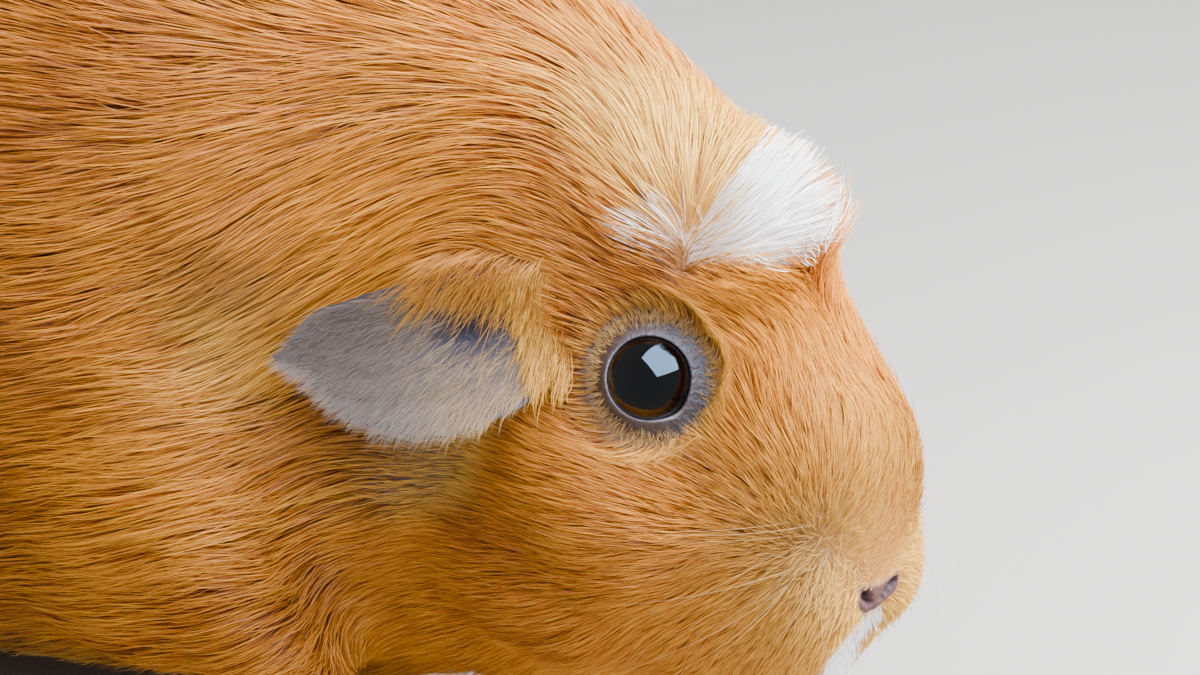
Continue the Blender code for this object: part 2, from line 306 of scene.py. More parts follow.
def coat_depth(points):
    """How deep the coat is at each place, in millimetres."""
    ahead, on_head = in_head(points), head_share(points)
    head = FACE_DEPTH - 1.2 * ease(ahead[:, 0], 2, 20)
    head = head + CREST_DEPTH * bump_at(ahead, WHORL, (13, 14, 12))
    head = head - 0.9 * bump_at(ahead, NOSE, 8)
    depth = BODY_DEPTH + (head - BODY_DEPTH) * on_head
    low = below(points, 8, 34)
    depth = depth + (LOW_DEPTH - depth) * low * (1 - on_head)
    depth = depth + FOLD_DEPTH * fold_share(points)
    feet = below(points, 9, 14)
    return depth + (FOOT_DEPTH - depth) * feet


outside = points_of(skin)
_, outward = depth_and_outward(outside)
move_points(skin, outside - outward * coat_depth(outside)[:, None])
smoothed(skin, 2)
apply_modifiers(skin)
print("skin:", np.ptp(points_of(skin), axis=0).round(1), "mm")

# %% [markdown]
# ## Nose and mouth
# The skin so far is too coarse for a nostril. Its faces around the nose are cut finer, and
# then the nose leather is raised a little, the two nostrils are pressed in as commas, and one
# groove runs down to the lips, where it parts to the corners of the mouth.

# %% Where leather, nostrils and lips are
NOSE_HALF_WIDTH = 3.8
# each nostril is a comma of four dents: how far aside, how far up, how wide
NOSTRIL_STEPS = ((2.9, 1.2, 0.50), (2.4, 0.9, 0.66), (1.8, 0.25, 0.60), (1.2, -0.5, 0.40))
LIP_STEPS = (
    # ahead, aside, up
    (29.2, 0.0, -20.0),
    (29.0, 0.0, -27.4),
    (28.2, 2.6, -29.2),
    (25.6, 5.4, -30.4),
    (21.5, 7.2, -30.8),
)
LIP_REACH = 0.55


def nose_leather(ahead):
    """1 on the bare leather: broad above, and narrowing to the groove below."""
    aside, up = np.abs(ahead[:, 1]), ahead[:, 2] - NOSE[2]
    half = NOSE_HALF_WIDTH * (0.12 + 0.88 * ease(up, -3.2, 0.4))
    inside = ease(half - aside, -0.3, 0.3) * ease(up, -3.4, -2.8)
    top = 1.7 + 0.25 * aside
    return inside * fade(up - top, -0.3, 0.3) * ease(ahead[:, 0], 24, 26)


def nostrils(ahead):
    aside, up = np.abs(ahead[:, 1]), ahead[:, 2] - NOSE[2]
    deepest = np.zeros(len(ahead))
    for middle, height, reach in NOSTRIL_STEPS:
        away = ((aside - middle) ** 2 + (up - height) ** 2) / reach**2
        deepest = np.maximum(deepest, np.exp(-away * away))
    return deepest * ease(ahead[:, 0], 24, 26)


def nearest_on_line(spots, start, end):
    """The place on the line from start to end that is nearest to each spot."""
    start, line = np.array(start), np.array(end) - np.array(start)
    share = np.clip((spots - start) @ line / (line @ line), 0, 1)
    return start + share[:, None] * line


def away_from_line(spots, start, end):
    return np.linalg.norm(spots - nearest_on_line(spots, start, end), axis=1)


def lip_line(ahead):
    """1 in the groove under the nose and between the lips, falling to 0 beside it."""
    spots = folded(ahead)
    nearest = [away_from_line(spots, *ends) for ends in zip(LIP_STEPS, LIP_STEPS[1:])]
    return np.exp(-((np.min(nearest, axis=0) / LIP_REACH) ** 2))


# %% Cut the skin finer there, and shape it
FINE_REACH = 13
FINE_CUTS = 3
FINE_MIDDLE = NOSE + (-1, 0, -5)
LEATHER_RISE, NOSTRIL_DEPTH, LIP_DEPTH = 0.35, 1.3, 0.6


def cut_finer(made, middle, reach):
    """Cuts the faces within reach of a place on the head into smaller ones."""
    bm = bmesh.new()
    bm.from_mesh(made.data)
    away = np.linalg.norm(in_head(points_of(made)) - middle, axis=1)
    near = [vert for vert, far in zip(bm.verts, away) if far < reach]
    edges = list(edges_of(near))
    bmesh.ops.subdivide_edges(bm, edges=edges, cuts=FINE_CUTS, use_grid_fill=True)
    bm.to_mesh(made.data)
    bm.free()
    made.data.shade_smooth()


cut_finer(skin, FINE_MIDDLE, FINE_REACH)
on_skin = points_of(skin)
_, outward = depth_and_outward(on_skin)
ahead = in_head(on_skin)
raised = LEATHER_RISE * nose_leather(ahead)
raised -= NOSTRIL_DEPTH * nostrils(ahead) + LIP_DEPTH * lip_line(ahead)
move_points(skin, on_skin + outward * raised[:, None])
print("skin with a nose:", len(skin.data.polygons), "faces")

# %% [markdown]
# ## Eyes
# A guinea pig's eye looks nearly black: a wide pupil in a very dark brown iris, under a wet
# and very smooth cornea. The solids' eyes have flat faces, which a reflection would show, so
# a finer ball takes the place of each, and its material tells pupil, iris and rim apart by
# the angle from the way the eye looks.

# %% Eye balls
EYE_TURN = math.radians(28)  # how far ahead of straight sideways, and how far up, eyes look
EYE_LOOK = (
    math.sin(EYE_TURN) * math.cos(EYE_TURN), math.cos(EYE_TURN) ** 2, math.sin(EYE_TURN)
)
TEAR_CORNER = (0.89, -0.24, -0.39)  # the way to it from the eye's middle


def mirrored(point, side):
    return np.array(point) * (1, side, 1)


def eye_axes(side):
    """The way an eye looks, then towards its tear corner, then across, in the head's frame."""
    look, corner = mirrored(EYE_LOOK, side), mirrored(TEAR_CORNER, side)
    corner = unit(corner - look * (corner @ look))
    return look, corner, np.cross(look, corner) * -side


def eye_angles(points, side):
    """Away from the way the eye looks, and height out along it, in millimetres."""
    look, _, _ = eye_axes(side)
    offset = in_head(points) - mirrored(EYE_MIDDLE, side)
    height = offset @ look
    return np.linalg.norm(offset - height[:, None] * look, axis=1), height


def set_values(made, name, values):
    attribute = made.data.attributes.new(name, "FLOAT", "POINT")
    attribute.data.foreach_set("value", np.asarray(values, np.float32))


for side, side_name in SIDES:
    bm = bmesh.new()
    place = Matrix.Translation(from_head(mirrored(EYE_MIDDLE, side)) * MM)
    bmesh.ops.create_uvsphere(
        bm, u_segments=64, v_segments=40, radius=EYE_RADIUS * MM, matrix=place
    )
    ball = new_piece(f"eye_ball_{side_name}", bm)
    away, height = eye_angles(points_of(ball), side)
    set_values(ball, "look_angle", np.arctan2(away, height) / (math.pi / 2))
    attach(ball, "root")
    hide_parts(f"eye_{side_name}")
print("eye balls:", 2 * EYE_RADIUS, "mm across")

# %% [markdown]
# ## Lids
# Around each eye lies a narrow band of bare, soft, grey-mauve skin: a wet margin that touches
# the ball, a rounded edge, then a finely wrinkled slope that meets the skin of the face, drawn
# out to a tear corner towards the nose. Rings of points are bridged from one to the next. The
# inner rings have set heights on the ball, and the outer ones ask where the skin lies.

# %% Lid rings
LID_RINGS = (
    # from the eye's middle line, height out along it, tear corner's pull, wrinkles, painted
    # highlight on the wet margin
    (4.85, 1.70, 0.5, 0.00, 0.0),
    (4.93, 2.62, 0.8, 0.00, 0.3),
    (4.97, 2.76, 0.9, 0.00, 1.0),
    (5.05, 2.86, 1.0, 0.00, 0.7),
    (5.18, 2.88, 1.2, 0.03, 0.0),
    (5.36, 2.78, 1.5, 0.06, 0.0),
    (5.56, 2.62, 1.8, 0.08, 0.0),
    (5.80, 2.42, 2.2, 0.10, 0.0),
    (6.05, 2.20, 2.5, 0.11, 0.0),
    (6.35, 2.00, 2.8, 0.12, 0.0),
    (6.70, 1.80, 3.0, 0.08, 0.0),
    (7.10, 1.60, 3.0, 0.00, 0.0),
    (7.60, 1.20, 2.6, 0.00, 0.0),
)
LID_POINTS = 160
LID_ON_SKIN = (5.2, 6.6)  # between these the lid leaves the ball and comes down to the skin
LID_DIP = (6.3, 7.6)  # between these it sinks into the skin
LID_LINING = (5.6, -3.0, 0, 0, 0)  # a last ring, deep inside, which closes the lid behind
LID_TRIES = np.arange(-3, 4.01, 0.25)  # heights at which the skin is looked for


def skin_height(side, spots):
    """How far out along the eye's look the skin of the face lies, at spots beside the eye."""
    look, _, _ = eye_axes(side)
    in_skin = []
    for height in LID_TRIES:
        points = from_head(spots + look * height)
        in_skin.append(depth_and_outward(points)[0] > coat_depth(points))
    return LID_TRIES[0] + (LID_TRIES[1] - LID_TRIES[0]) * np.sum(in_skin, axis=0)


def lid_spots(side, turns, away, height, pull, wrinkle):
    """Places on a lid: turns go round from the tear corner, the rest as in the rings."""
    look, corner, across = eye_axes(side)
    drawn = np.exp(-((np.angle(np.exp(1j * turns)) / 0.34) ** 2))
    ways = corner * np.cos(turns)[:, None] + across * np.sin(turns)[:, None]
    wider = ease(away, 5.2, 6.4) * 0.9 * (0.5 + 0.5 * np.cos(turns - 0.5))
    spots = mirrored(EYE_MIDDLE, side) + ways * (away + 0.45 * pull * drawn + wider)[:, None]
    crease = np.sin(turns * 37 + 2.5 * np.sin(turns * 7 + 3 * away))
    crease = crease * np.cos(turns * 11 + 5 * away)
    down = ease(away, *LID_ON_SKIN)
    level = skin_height(side, spots) + 0.15
    rise = (height - 0.25 * pull * drawn) * (1 - down) + level * down
    rise = rise + wrinkle * crease - 1.8 * ease(away, *LID_DIP)
    return spots + look * rise[:, None], ways


def lid(side):
    """The rings of one eye's lids, bridged into a closed rim, and each point's painted
    highlight.
    """
    turns = np.arange(LID_POINTS) * 2 * math.pi / LID_POINTS
    look, _, _ = eye_axes(side)
    bm = bmesh.new()
    rings, wet_highlights = [], []
    for away, height, pull, wrinkle, wet_highlight in LID_RINGS + (LID_LINING,):
        spots, ways = lid_spots(side, turns, np.full(LID_POINTS, away), height, pull, wrinkle)
        if height < 0:
            spots = mirrored(EYE_MIDDLE, side) + ways * away + look * height
        ring = bmesh.ops.create_circle(bm, segments=LID_POINTS, radius=1)["verts"]
        for vert, spot in zip(ring, from_head(spots) * MM):
            vert.co = spot
        rings.append(edges_of(ring))
        # the wet margin's painted highlight, only on the lower lid, where it catches the light
        wet_highlights += list(wet_highlight * ease(-np.sin(turns), -0.3, 0.3))
    bridged(bm, rings + rings[:1])
    bmesh.ops.recalc_face_normals(bm, faces=bm.faces)
    return bm, wet_highlights


def sink_under_lids(points):
    """Presses the skin in under each lid and ball, so that neither is pierced by it."""
    for side, _ in SIDES:
        look, _, _ = eye_axes(side)
        away, height = eye_angles(points, side)
        near = fade(away, 6.2, 7.2) * ease(height, -6, -3)
        points = points - (near * np.maximum(height + 2.5, 0))[:, None] * (look @ head_axes.T)
    return points


move_points(skin, sink_under_lids(points_of(skin)))
lids = {}
for side, side_name in SIDES:
    bm, wet_highlights = lid(side)
    lids[side] = new_piece(f"lid_{side_name}", bm)
    set_values(lids[side], "wet_highlight", wet_highlights)
    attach(lids[side], "root")
print("lids:", len(lids[1].data.polygons), "faces each")

# %% [markdown]
# ## Ears
# The ears hang like petals: broad at the root, drawn to a soft point behind, hollow on the
# outer face and no thicker than a leaf. Each is a flattened ball, so its rim is closed and
# round. One function says how far the ear's sheet stands out at any place along and up it, and
# both the petal and, later, its down ask it.

# %% The ear's sheet
EAR_LENGTH, EAR_THICKNESS = 35.2, 0.8
EAR_BACK = -0.9  # where the middle of its length lies
EAR_MIDDLE = (-29, 29, -1.8)
EAR_ALONG = (-0.859, 0.421, -0.292)
EAR_UP = (0, -0.25, 1)
EAR_TIP_RISE = 3.9
EAR_CUP, EAR_DROOP = 2.3, 1.6  # how far its long edges stand out, and its ends bend in
EAR_HOLLOW, EAR_HOLLOW_DEPTH = ((-8.0, 2.5), (8.0, 5.0)), 1.1
EAR_RIBS, RIB_HEIGHT = 5, 0.06


def ear_frame(side):
    """X runs from the ear's root to its tip, Y up across it, and Z through it."""
    along = Vector(mirrored(EAR_ALONG, side)).normalized()
    upward = Vector(mirrored(EAR_UP, side))
    across = (upward - upward.dot(along) * along).normalized()
    turn = Matrix((along, across, along.cross(across))).transposed().to_4x4()
    level = Matrix.Translation(head_middle) @ Matrix.Rotation(HEAD_YAW, 4, "Z")
    return level @ Matrix.Translation(mirrored(EAR_MIDDLE, side)) @ turn


def ear_share(x):
    return (x - EAR_BACK) / (EAR_LENGTH / 2)


def ear_line(share):
    """The height of the ear's middle line and its half width, from its root (-1) to its tip."""
    middle = EAR_TIP_RISE * ease(share, 0, 1.05)
    half = (9.1 - 2.2 * share) * (1 - 0.9 * ease(share, 0.5, 1.12))
    return middle, half


def ear_hollow(x, y):
    middle, reach = EAR_HOLLOW
    return np.exp(-(((x - middle[0]) / reach[0]) ** 2) - ((y - middle[1]) / reach[1]) ** 2)


def ear_stand(x, y):
    """How far out the middle of the ear's sheet stands at a place on it, in millimetres."""
    share = ear_share(x)
    middle, half = ear_line(np.clip(share, -1, 1))
    up = np.clip((y - middle) / half, -1, 1)
    share = np.clip(share, -1.05, 1)
    stand = EAR_CUP * up * up * (1 - 0.5 * share) - EAR_DROOP * (share - 0.3) ** 2
    ribs = np.cos(EAR_RIBS * math.pi * up * (1.1 - 0.4 * share))
    stand = stand + RIB_HEIGHT * ribs * fade(share * share + up * up, 0.4, 1)
    return stand - EAR_HOLLOW_DEPTH * ear_hollow(x, y)


def from_ear(x, y, out, side):
    """Places on an ear, told along it, up it and out from it, in the whole animal's frame."""
    turn = np.array(ear_frame(side))
    return np.stack([x, y, out * side], -1) @ turn[:3, :3].T + turn[:3, 3]


# %% Bend a flattened ball into each ear
def ear(side, name):
    bm = bmesh.new()
    bmesh.ops.create_uvsphere(bm, u_segments=112, v_segments=48, radius=1)
    along, up, through = np.array([tuple(vert.co) for vert in bm.verts]).T
    edge = ease(along * along + up * up, 0.55, 1)
    middle, half = ear_line(along)
    wave = 0.2 * edge * np.sin(9 * np.arctan2(up, along) + 1)
    notch = 0.9 * edge * np.exp(-(((along - 0.8) / 0.05) ** 2)) * (up < 0)
    x = EAR_BACK + along * EAR_LENGTH / 2 - 0.5 * notch
    y = middle + up * half + wave + notch
    out = ear_stand(x, y) + through * side * EAR_THICKNESS / 2
    for vert, spot in zip(bm.verts, from_ear(x, y, out, side) * MM):
        vert.co = spot
    made = new_piece(name, bm)
    set_values(made, "ear_hollow", ear_hollow(x, y))
    set_values(made, "ear_tip", ease(along, -0.2, 0.9))
    set_values(made, "ear_edge", ease(along * along + up * up, 0.86, 1))
    return made


ears = {}
for side, side_name in SIDES:
    ears[side] = ear(side, f"ear_skin_{side_name}")
    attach(ears[side], "root")
    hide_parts(f"ear_{side_name}")
print("ears:", EAR_LENGTH, "mm long,", EAR_THICKNESS, "mm thick")

# %% [markdown]
# ## The lie of the coat
# Hair grows back from the nose over the whole head, then along the body towards the rump. A
# crest is a whorl on the forehead: its hair runs out to every side from a short parting, and
# the hair below it parts and goes round. One function gives the way that hair lies anywhere.

# %% Which way hair lies
CREST_PARTING = (-1.5, -9.6, 16.0)  # the crest's hair starts on a line from the whorl to here
CREST_SPLIT = 3.5  # where the streams below the crest part, to the left of the middle
NECK_FOLD = (50, 24, 74)
NECK_FOLD_REACH = (20, 16, 18)


def in_crest(ahead):
    """Under 1 inside the oval where the crest's own hair grows, and over 1 outside it."""
    offset = (ahead - CREST_MIDDLE) / CREST_REACH
    return np.where(offset[:, 0] < 0, np.abs(offset[:, 1]), np.linalg.norm(offset, axis=1))


def waves(points, size, seed):
    """A smooth random value from -1 to 1, made of a few crossed waves of about that size."""
    pick = np.random.default_rng(seed)
    total = np.zeros(len(points))
    for _ in range(6):
        way = unit(pick.normal(size=3)) * pick.uniform(0.7, 1.5) * 2 * math.pi / size
        total += np.sin(points @ way + pick.uniform(0, 2 * math.pi))
    return total / 2.6


def wave_ways(points, size, seeds):
    return np.stack([waves(points, size, seed) for seed in seeds], -1)


def steered(way, share, towards):
    """A way at each point, turned towards another by a share of its own."""
    return unit(way + share[:, None] * towards)


def from_pads(ahead):
    """Out from each whisker pad, and up from the nose."""
    way = beside(ahead, PAD)
    way[:, 1] *= ease(np.abs(ahead[:, 1]), 0, 9)
    near_nose = bump_at(ahead, NOSE, 7.5)
    return steered(unit(way), 4.5 * near_nose, unit(ahead - (NOSE - (3, 0, 0))))


def crest_ways(ahead):
    """Away from the crest's parting on every side, a little unevenly."""
    out = (ahead - nearest_on_line(ahead, WHORL, CREST_PARTING)) * (1, 1, 0)
    out[:, 1] = np.maximum(out[:, 1], 0)
    return unit(out + (0.15, 0.8, 0) + 0.25 * wave_ways(ahead, 7, (31, 32, 33)) * (1, 1, 0))


def head_flow(points):
    """Out from the pads, back over the temples, round the crest and away from the eyes."""
    ahead = in_head(points)
    way = from_pads(ahead)
    level, aside = np.ones(len(ahead)), np.abs(ahead[:, 1])
    sides = np.where(ahead[:, 1] < 0, -1.0, 1.0)
    temple = ease(aside, 9, 16) * ease(-ahead[:, 0], -8, 6) * ease(ahead[:, 2], -10, -2)
    sweep = np.stack([-level, 0.3 * sides, -0.5 * level], -1)
    way = steered(way, 1.6 * temple, unit(sweep))
    rim = in_crest(ahead)
    round_sides = np.clip((ahead[:, 1] - CREST_SPLIT) / 4, -1, 1)
    offset = (ahead - CREST_MIDDLE) / CREST_REACH
    around = 1.1 * round_sides * np.maximum(offset[:, 0], 0)
    turning = np.stack([-np.abs(offset[:, 1]) - 0.35, around, -0.2 * level], -1)
    below_rim = np.exp(-((np.maximum(rim - 1, 0) / 0.45) ** 2)) * ease(ahead[:, 0], -28, -14)
    way = steered(way, 2.2 * below_rim, unit(turning))
    crest = (fade(rim, 0.95, 1.03) * ease(ahead[:, 0], -30, -20))[:, None]
    way = unit(way * (1 - crest) + crest_ways(ahead) * crest)
    for side, _ in SIDES:
        look, _, _ = eye_axes(side)
        away, height = eye_angles(points, side)
        outward = unit(ahead - mirrored(EYE_MIDDLE, side) - height[:, None] * look)
        near = fade(away, 7.2, 11) * ease(height, -6, -3)
        way = steered(way, 1.6 * near, outward)
    return way @ head_axes.T


def body_flow(points):
    """Along the body, down into the neck's fold, over flanks and rump, and down the legs."""
    x, y, z = points.T
    sides = np.where(y < 0, -1.0, 1.0)
    down = 0.05 + 0.22 * ease(np.abs(y), 15, 45)
    rump = ease(-x, 78, 112)
    legs = fade(z, 6, 22) * 0.8
    flow = np.stack([-1 + 0.7 * rump, np.zeros(len(x)), -down - 1.3 * rump - legs], -1)
    fold = bump_at(folded(points), NECK_FOLD, NECK_FOLD_REACH)
    into = np.stack([np.full(len(x), -0.5), 0.55 * sides, np.full(len(x), -0.65)], -1)
    return steered(flow, 2.0 * fold, into)


def lie(points):
    """The way that hair lies at each point, on the head and the body alike."""
    share = head_share(points)[:, None]
    return unit(head_flow(points) * share + body_flow(points) * (1 - share))


# %% [markdown]
# ## Markings
# The coat is ginger, paler and yellower on the muzzle and behind the whorl, and white in a
# patch on the crest and on the lips. Light and shade are painted into it too: painted shade
# darkens it low on the body, in the fold behind each ear and under each ear, and a painted
# highlight lightens each shoulder. Each marking is a function from 0 to 1 of a place. Skin and
# coat ask the same functions, so they always agree.

# %% White, cream and dark
WHITE_LINE, WHITE_SIDE = (-6.4, -11.6, 16.9), (0.93, 0.37, 0)  # the patch's hind edge
WHITE_STREAK = ((-6.0, -9.0, 0), (-11.5, -9.9, 0))  # as seen from above the head
WHITE_LIPS = (30.0, 0.0, -29.5)
# the middle of the painted highlight on each shoulder
SHOULDER_HIGHLIGHT = (37, 22.5, 63)
DARK_BROW, DARK_CHEEK = (-9.0, 13.5, 4.5), (-4.0, 21.0, -33.0)
# where the painted shadow under each ear lies
UNDER_EAR_SHADOW = (-26.0, 24.5, -29.0)


def near_pads(points):
    """1 on each whisker pad, falling to 0 around it."""
    return bump_at(beside(in_head(points), PAD), 0, 5)


def nearest_eye(points):
    """How far beside the nearer eye each point lies, across the way that the eye looks."""
    return np.minimum(*(eye_angles(points, side)[0] for side, _ in SIDES))


def near_eyes(points):
    """1 beside the lids, falling to 0 a few millimetres out."""
    return fade(nearest_eye(points), 6.5, 12) * head_share(points)


def near_lids(points):
    """1 within the bare grey skin round each eye, out to its tear corner, and 0 elsewhere."""
    return fade(nearest_eye(points), 8.6, 9.4) * head_share(points)


def white_share(points):
    """The front of the crest, with a streak back from it, and the lips under the nose."""
    ahead = in_head(points)
    spots = ahead + 0.7 * wave_ways(ahead, 5, (3, 4, 5))  # moved about, for a ragged edge
    patch = ease((spots - WHITE_LINE) @ WHITE_SIDE, -0.3, 0.5)
    patch = patch * fade(in_crest(ahead), 0.78, 0.84)
    patch = patch * fade(spots[:, 1], -1.5, 3.5)
    away = away_from_line(spots * (1, 1, 0), *WHITE_STREAK)
    streak = 0.8 * fade(away, 0.25, 0.7)
    above = ease(ahead[:, 2], 3, 6)
    lips = np.linalg.norm((spots - WHITE_LIPS) / (7.5, 3.4, 9.5), axis=1)
    return np.max([patch * above, streak * above, ease(-lips, -1.2, -0.85)], axis=0)


def cream_and_painted_highlight_share(points):
    """Paler all over the muzzle, most at the nose, behind the whorl and on the feet, with a
    painted highlight on each shoulder.
    """
    ahead = in_head(points)
    behind = bump_at(ahead, WHORL + (-8, 5, 4), (15, 12, 14))
    behind = 0.95 * behind * fade(in_crest(ahead), 0.9, 1.15)
    nose = bump_at(ahead, NOSE + (0, 0, 2), (9, 9, 8))
    muzzle = 0.95 * bump_at(ahead, NOSE + (-1, 0, 5), (15, 15, 17))
    rest = 0.45 * near_eyes(points) + 0.6 * below(points, 5, 16)
    # a painted highlight on each shoulder, where the light falls on its bulge
    rest = rest + 0.4 * bump_at(np.abs(points), SHOULDER_HIGHLIGHT, (11, 10, 10))
    return np.max([behind, nose, muzzle, rest], axis=0)


def dark_and_painted_shade_share(points):
    """Deeper and browner on the body and in large soft patches, with painted shade low on the
    body, in the fold behind each ear and under the ears.
    """
    ahead = in_head(points)
    # painted shade: darker low on the body, where the lower flanks get less light
    low = 0.45 * below(points, 30, 80) * fade(ahead[:, 0], -75, -5)
    body = 0.52 * fade(ahead[:, 0], -78, -38)
    # the fold term is painted shade in the hollow behind each ear
    total = (low + body) * ease(points[:, 2], 8, 24) + 0.85 * fold_share(points)
    total = total + 0.16 * waves(points, 26, 9) + 0.10 * waves(points, 9, 10)
    total = total + 0.8 * near_pads(points)
    for amount, place, reach in (
        (0.55, DARK_BROW, (12, 6, 6)),
        (0.50, DARK_CHEEK, (16, 12, 13)),
        # painted shadow under each ear
        (0.80, UNDER_EAR_SHADOW, (13, 8, 7)),
    ):
        total = total + amount * bump_at(folded(ahead), place, reach)
    return np.clip(total, 0, 1)


# %% [markdown]
# ## How long and how thick
# Hair is a few millimetres long and very fine on the muzzle and round the eyes, and grows to
# two centimetres on the body. Fewer, wider tufts do for the body than for the face.

# %% Length and width
BODY_LENGTH, CREST_LENGTH, LOW_LENGTH, FOOT_LENGTH = 20, 10.5, 8, 3.0
SHORT_RIM = (-10.0, -10.0, 13.5)  # on the near edge of the crest, where its hair is short
FINEST, COARSER, FOOT_COARSER = 0.088, 0.0052, 0.04  # widths: the last two are added


def hair_length(points):
    ahead, on_head = in_head(points), head_share(points)
    rim = in_crest(ahead)
    face = 1.5 + 6.0 * ease(np.linalg.norm(ahead - NOSE, axis=1), 2, 42)
    crest = fade(rim, 0.85, 1.15) * ease(ahead[:, 2], 2, 9)
    at_rim = (
        ease(rim, 0.84, 0.95) * fade(ahead[:, 1], -9, -2),
        bump_at(ahead, WHORL, (2.5, 2.5, 6)),
        bump_at(ahead, SHORT_RIM, (6, 1.8, 5)),
    )
    face = face + (CREST_LENGTH - 6.0 * np.max(at_rim, axis=0) - face) * crest
    face = face * (1 - 0.62 * near_eyes(points))
    length = BODY_LENGTH + (face - BODY_LENGTH) * on_head
    low = below(points, 8, 26)
    length = length + (LOW_LENGTH - length) * low * (1 - on_head)
    return length + (FOOT_LENGTH - length) * below(points, 8, 13)


def hair_width(points):
    """Longer hair is drawn in wider tufts."""
    foot = FOOT_COARSER * below(points, 8, 13)
    return FINEST + COARSER * (hair_length(points) - 2) + foot


def bare(points):
    """True on the eyes, lids and nose leather, where no coat grows."""
    ahead = in_head(points)
    found = (nose_leather(ahead) > 0.5) | (lip_line(ahead) > 0.75)
    for side, _ in SIDES:
        _, corner, _ = eye_axes(side)
        away, height = eye_angles(points, side)
        towards = (ahead - mirrored(EYE_MIDDLE, side)) @ corner / np.maximum(away, 1e-3)
        reach = 6.3 + 0.9 * ease(towards, -0.5, 0.7) + 1.9 * ease(towards, 0.86, 0.98)
        found |= (away < reach) & (height > -4)
    return found


# %% [markdown]
# ## Roots
# Each tuft starts at a random place on the skin. Places are drawn triangle by triangle, in
# proportion to its area and to how many tufts a square millimetre should carry there.

# %% Scatter the roots
def skin_triangles():
    mesh = skin.data
    mesh.calc_loop_triangles()
    found = []
    for what in ("vertices", "loops"):
        numbers = np.empty(len(mesh.loop_triangles) * 3, np.int32)
        mesh.loop_triangles.foreach_get(what, numbers)
        found.append(numbers.reshape(-1, 3))
    return found


skin_corners, skin_loops = skin_triangles()
skin_spots = points_of(skin)[skin_corners]
skin_middles = skin_spots.mean(1)
skin_bare = bare(skin_middles)


def scattered(count, crowding):
    """Random places on the skin, as triangle numbers and shares of its three corners."""
    first, second = skin_spots[:, 1] - skin_spots[:, 0], skin_spots[:, 2] - skin_spots[:, 0]
    areas = np.linalg.norm(np.cross(first, second), axis=1)
    running = np.cumsum(areas * crowding(skin_middles) * ~skin_bare)
    picks = (np.arange(count) + random.random(count)) / count * running[-1]
    triangles = np.minimum(np.searchsorted(running, picks), len(areas) - 1)
    first, second = random.random((2, count))
    over = first + second > 1
    first[over], second[over] = 1 - first[over], 1 - second[over]
    return triangles, np.stack([1 - first - second, first, second], -1)


def short_haired(points):
    """1 on the face and feet, where hair is short and fine, and 0 on the body and crest."""
    ahead = in_head(points)
    crest = fade(in_crest(ahead), 0.95, 1.1) * ease(ahead[:, 2], 4, 9)
    face = head_share(points) * ease(ahead[:, 0], -26, -16) * (1 - crest)
    return np.maximum(face, below(points, 8, 14))


def face_crowding(points):
    """How closely the short hair stands, which is most on the muzzle."""
    muzzle = ease(in_head(points)[:, 0], 2, 22)
    return short_haired(points) * (1 + 0.5 * muzzle)


def body_crowding(points):
    """How closely the long hair stands: most in front and on the crest, least underneath."""
    seen = 0.7 + 0.5 * ease(points[:, 0], 0, 40)
    crest = head_share(points) * ease(in_head(points)[:, 0], -26, -16)
    under = 0.45 + 0.55 * ease(points[:, 2], 12, 30)
    return (1 - short_haired(points)) * (seen + crest) * under


# %% [markdown]
# ## Growing the tufts
# A tuft leaves the skin at a slant, then bends over and follows the lie of the coat. Each step
# goes a little further along the lie and is then lifted to its own height, which is read from
# the grid, so that tufts follow the body's curves and never float.

# %% Grow strands along the coat
RISE = 1.7
FLOOR_CLEARANCE = 0.3


def grown(roots, steps, lengths, heights, strays):
    """Points of each strand from its root to its tip: an array of strands by steps by xyz."""
    depth, _ = depth_and_outward(roots)
    places = [roots]
    spots = roots
    for step in range(1, steps + 1):
        _, outward = depth_and_outward(spots)
        way = lie(spots) + strays
        way = unit(way - np.sum(way * outward, 1)[:, None] * outward)
        spots = spots + way * (lengths / steps)[:, None]
        below, outward = depth_and_outward(spots)
        wanted = depth - (depth + heights) * (1 - (1 - step / steps) ** RISE)
        spots = spots + outward * (below - wanted)[:, None]
        spots[:, 2] = np.maximum(spots[:, 2], FLOOR_CLEARANCE)
        places.append(spots)
    return np.stack(places, 1)


# %% [markdown]
# ## Locks
# Hair never lies perfectly even. It gathers in small locks whose tips draw together, and
# between them darker gaps show. Every strand leans towards the nearest of a few thousand
# leading strands, more and more towards its tip.

# %% Draw strands into locks
TIPS_TOGETHER = 1.4  # over 1, so that strands draw together mostly near their tips


def lock_leaders(roots, each):
    """For each strand, the number of the leading strand nearest to its root."""
    leaders = random.choice(len(roots), len(roots) // each, replace=False)
    tree = KDTree(len(leaders))
    for leader in leaders.tolist():
        tree.insert(roots[leader], leader)
    tree.balance()
    return np.array([tree.find(root)[1] for root in roots])


def drawn_together(strands, leaders, pull, apart):
    """The strands, each bent towards its leader, unless its root is too far away."""
    count, points = strands.shape[:2]
    away = np.linalg.norm(strands[:, 0] - strands[leaders, 0], axis=1)
    own = random.uniform(*pull, count)[leaders] * random.uniform(0.5, 1.1, count)
    own *= 1 - ease(away, apart, 2 * apart)
    shares = (np.arange(points) / (points - 1))[None, :] ** TIPS_TOGETHER * own[:, None]
    return strands + (strands[leaders] - strands) * shares[..., None]


# %% [markdown]
# ## Blades
# A strand becomes a narrow blade: pairs of points along it and a single point at its tip. Each
# blade is rolled a little about its own line, so neighbours catch the light differently. The
# blades are written straight from arrays, as no modelling operator makes them.

# %% Turn strands into blades
PATCH = 0.003  # how wide a tuft's own place on the map of colours is


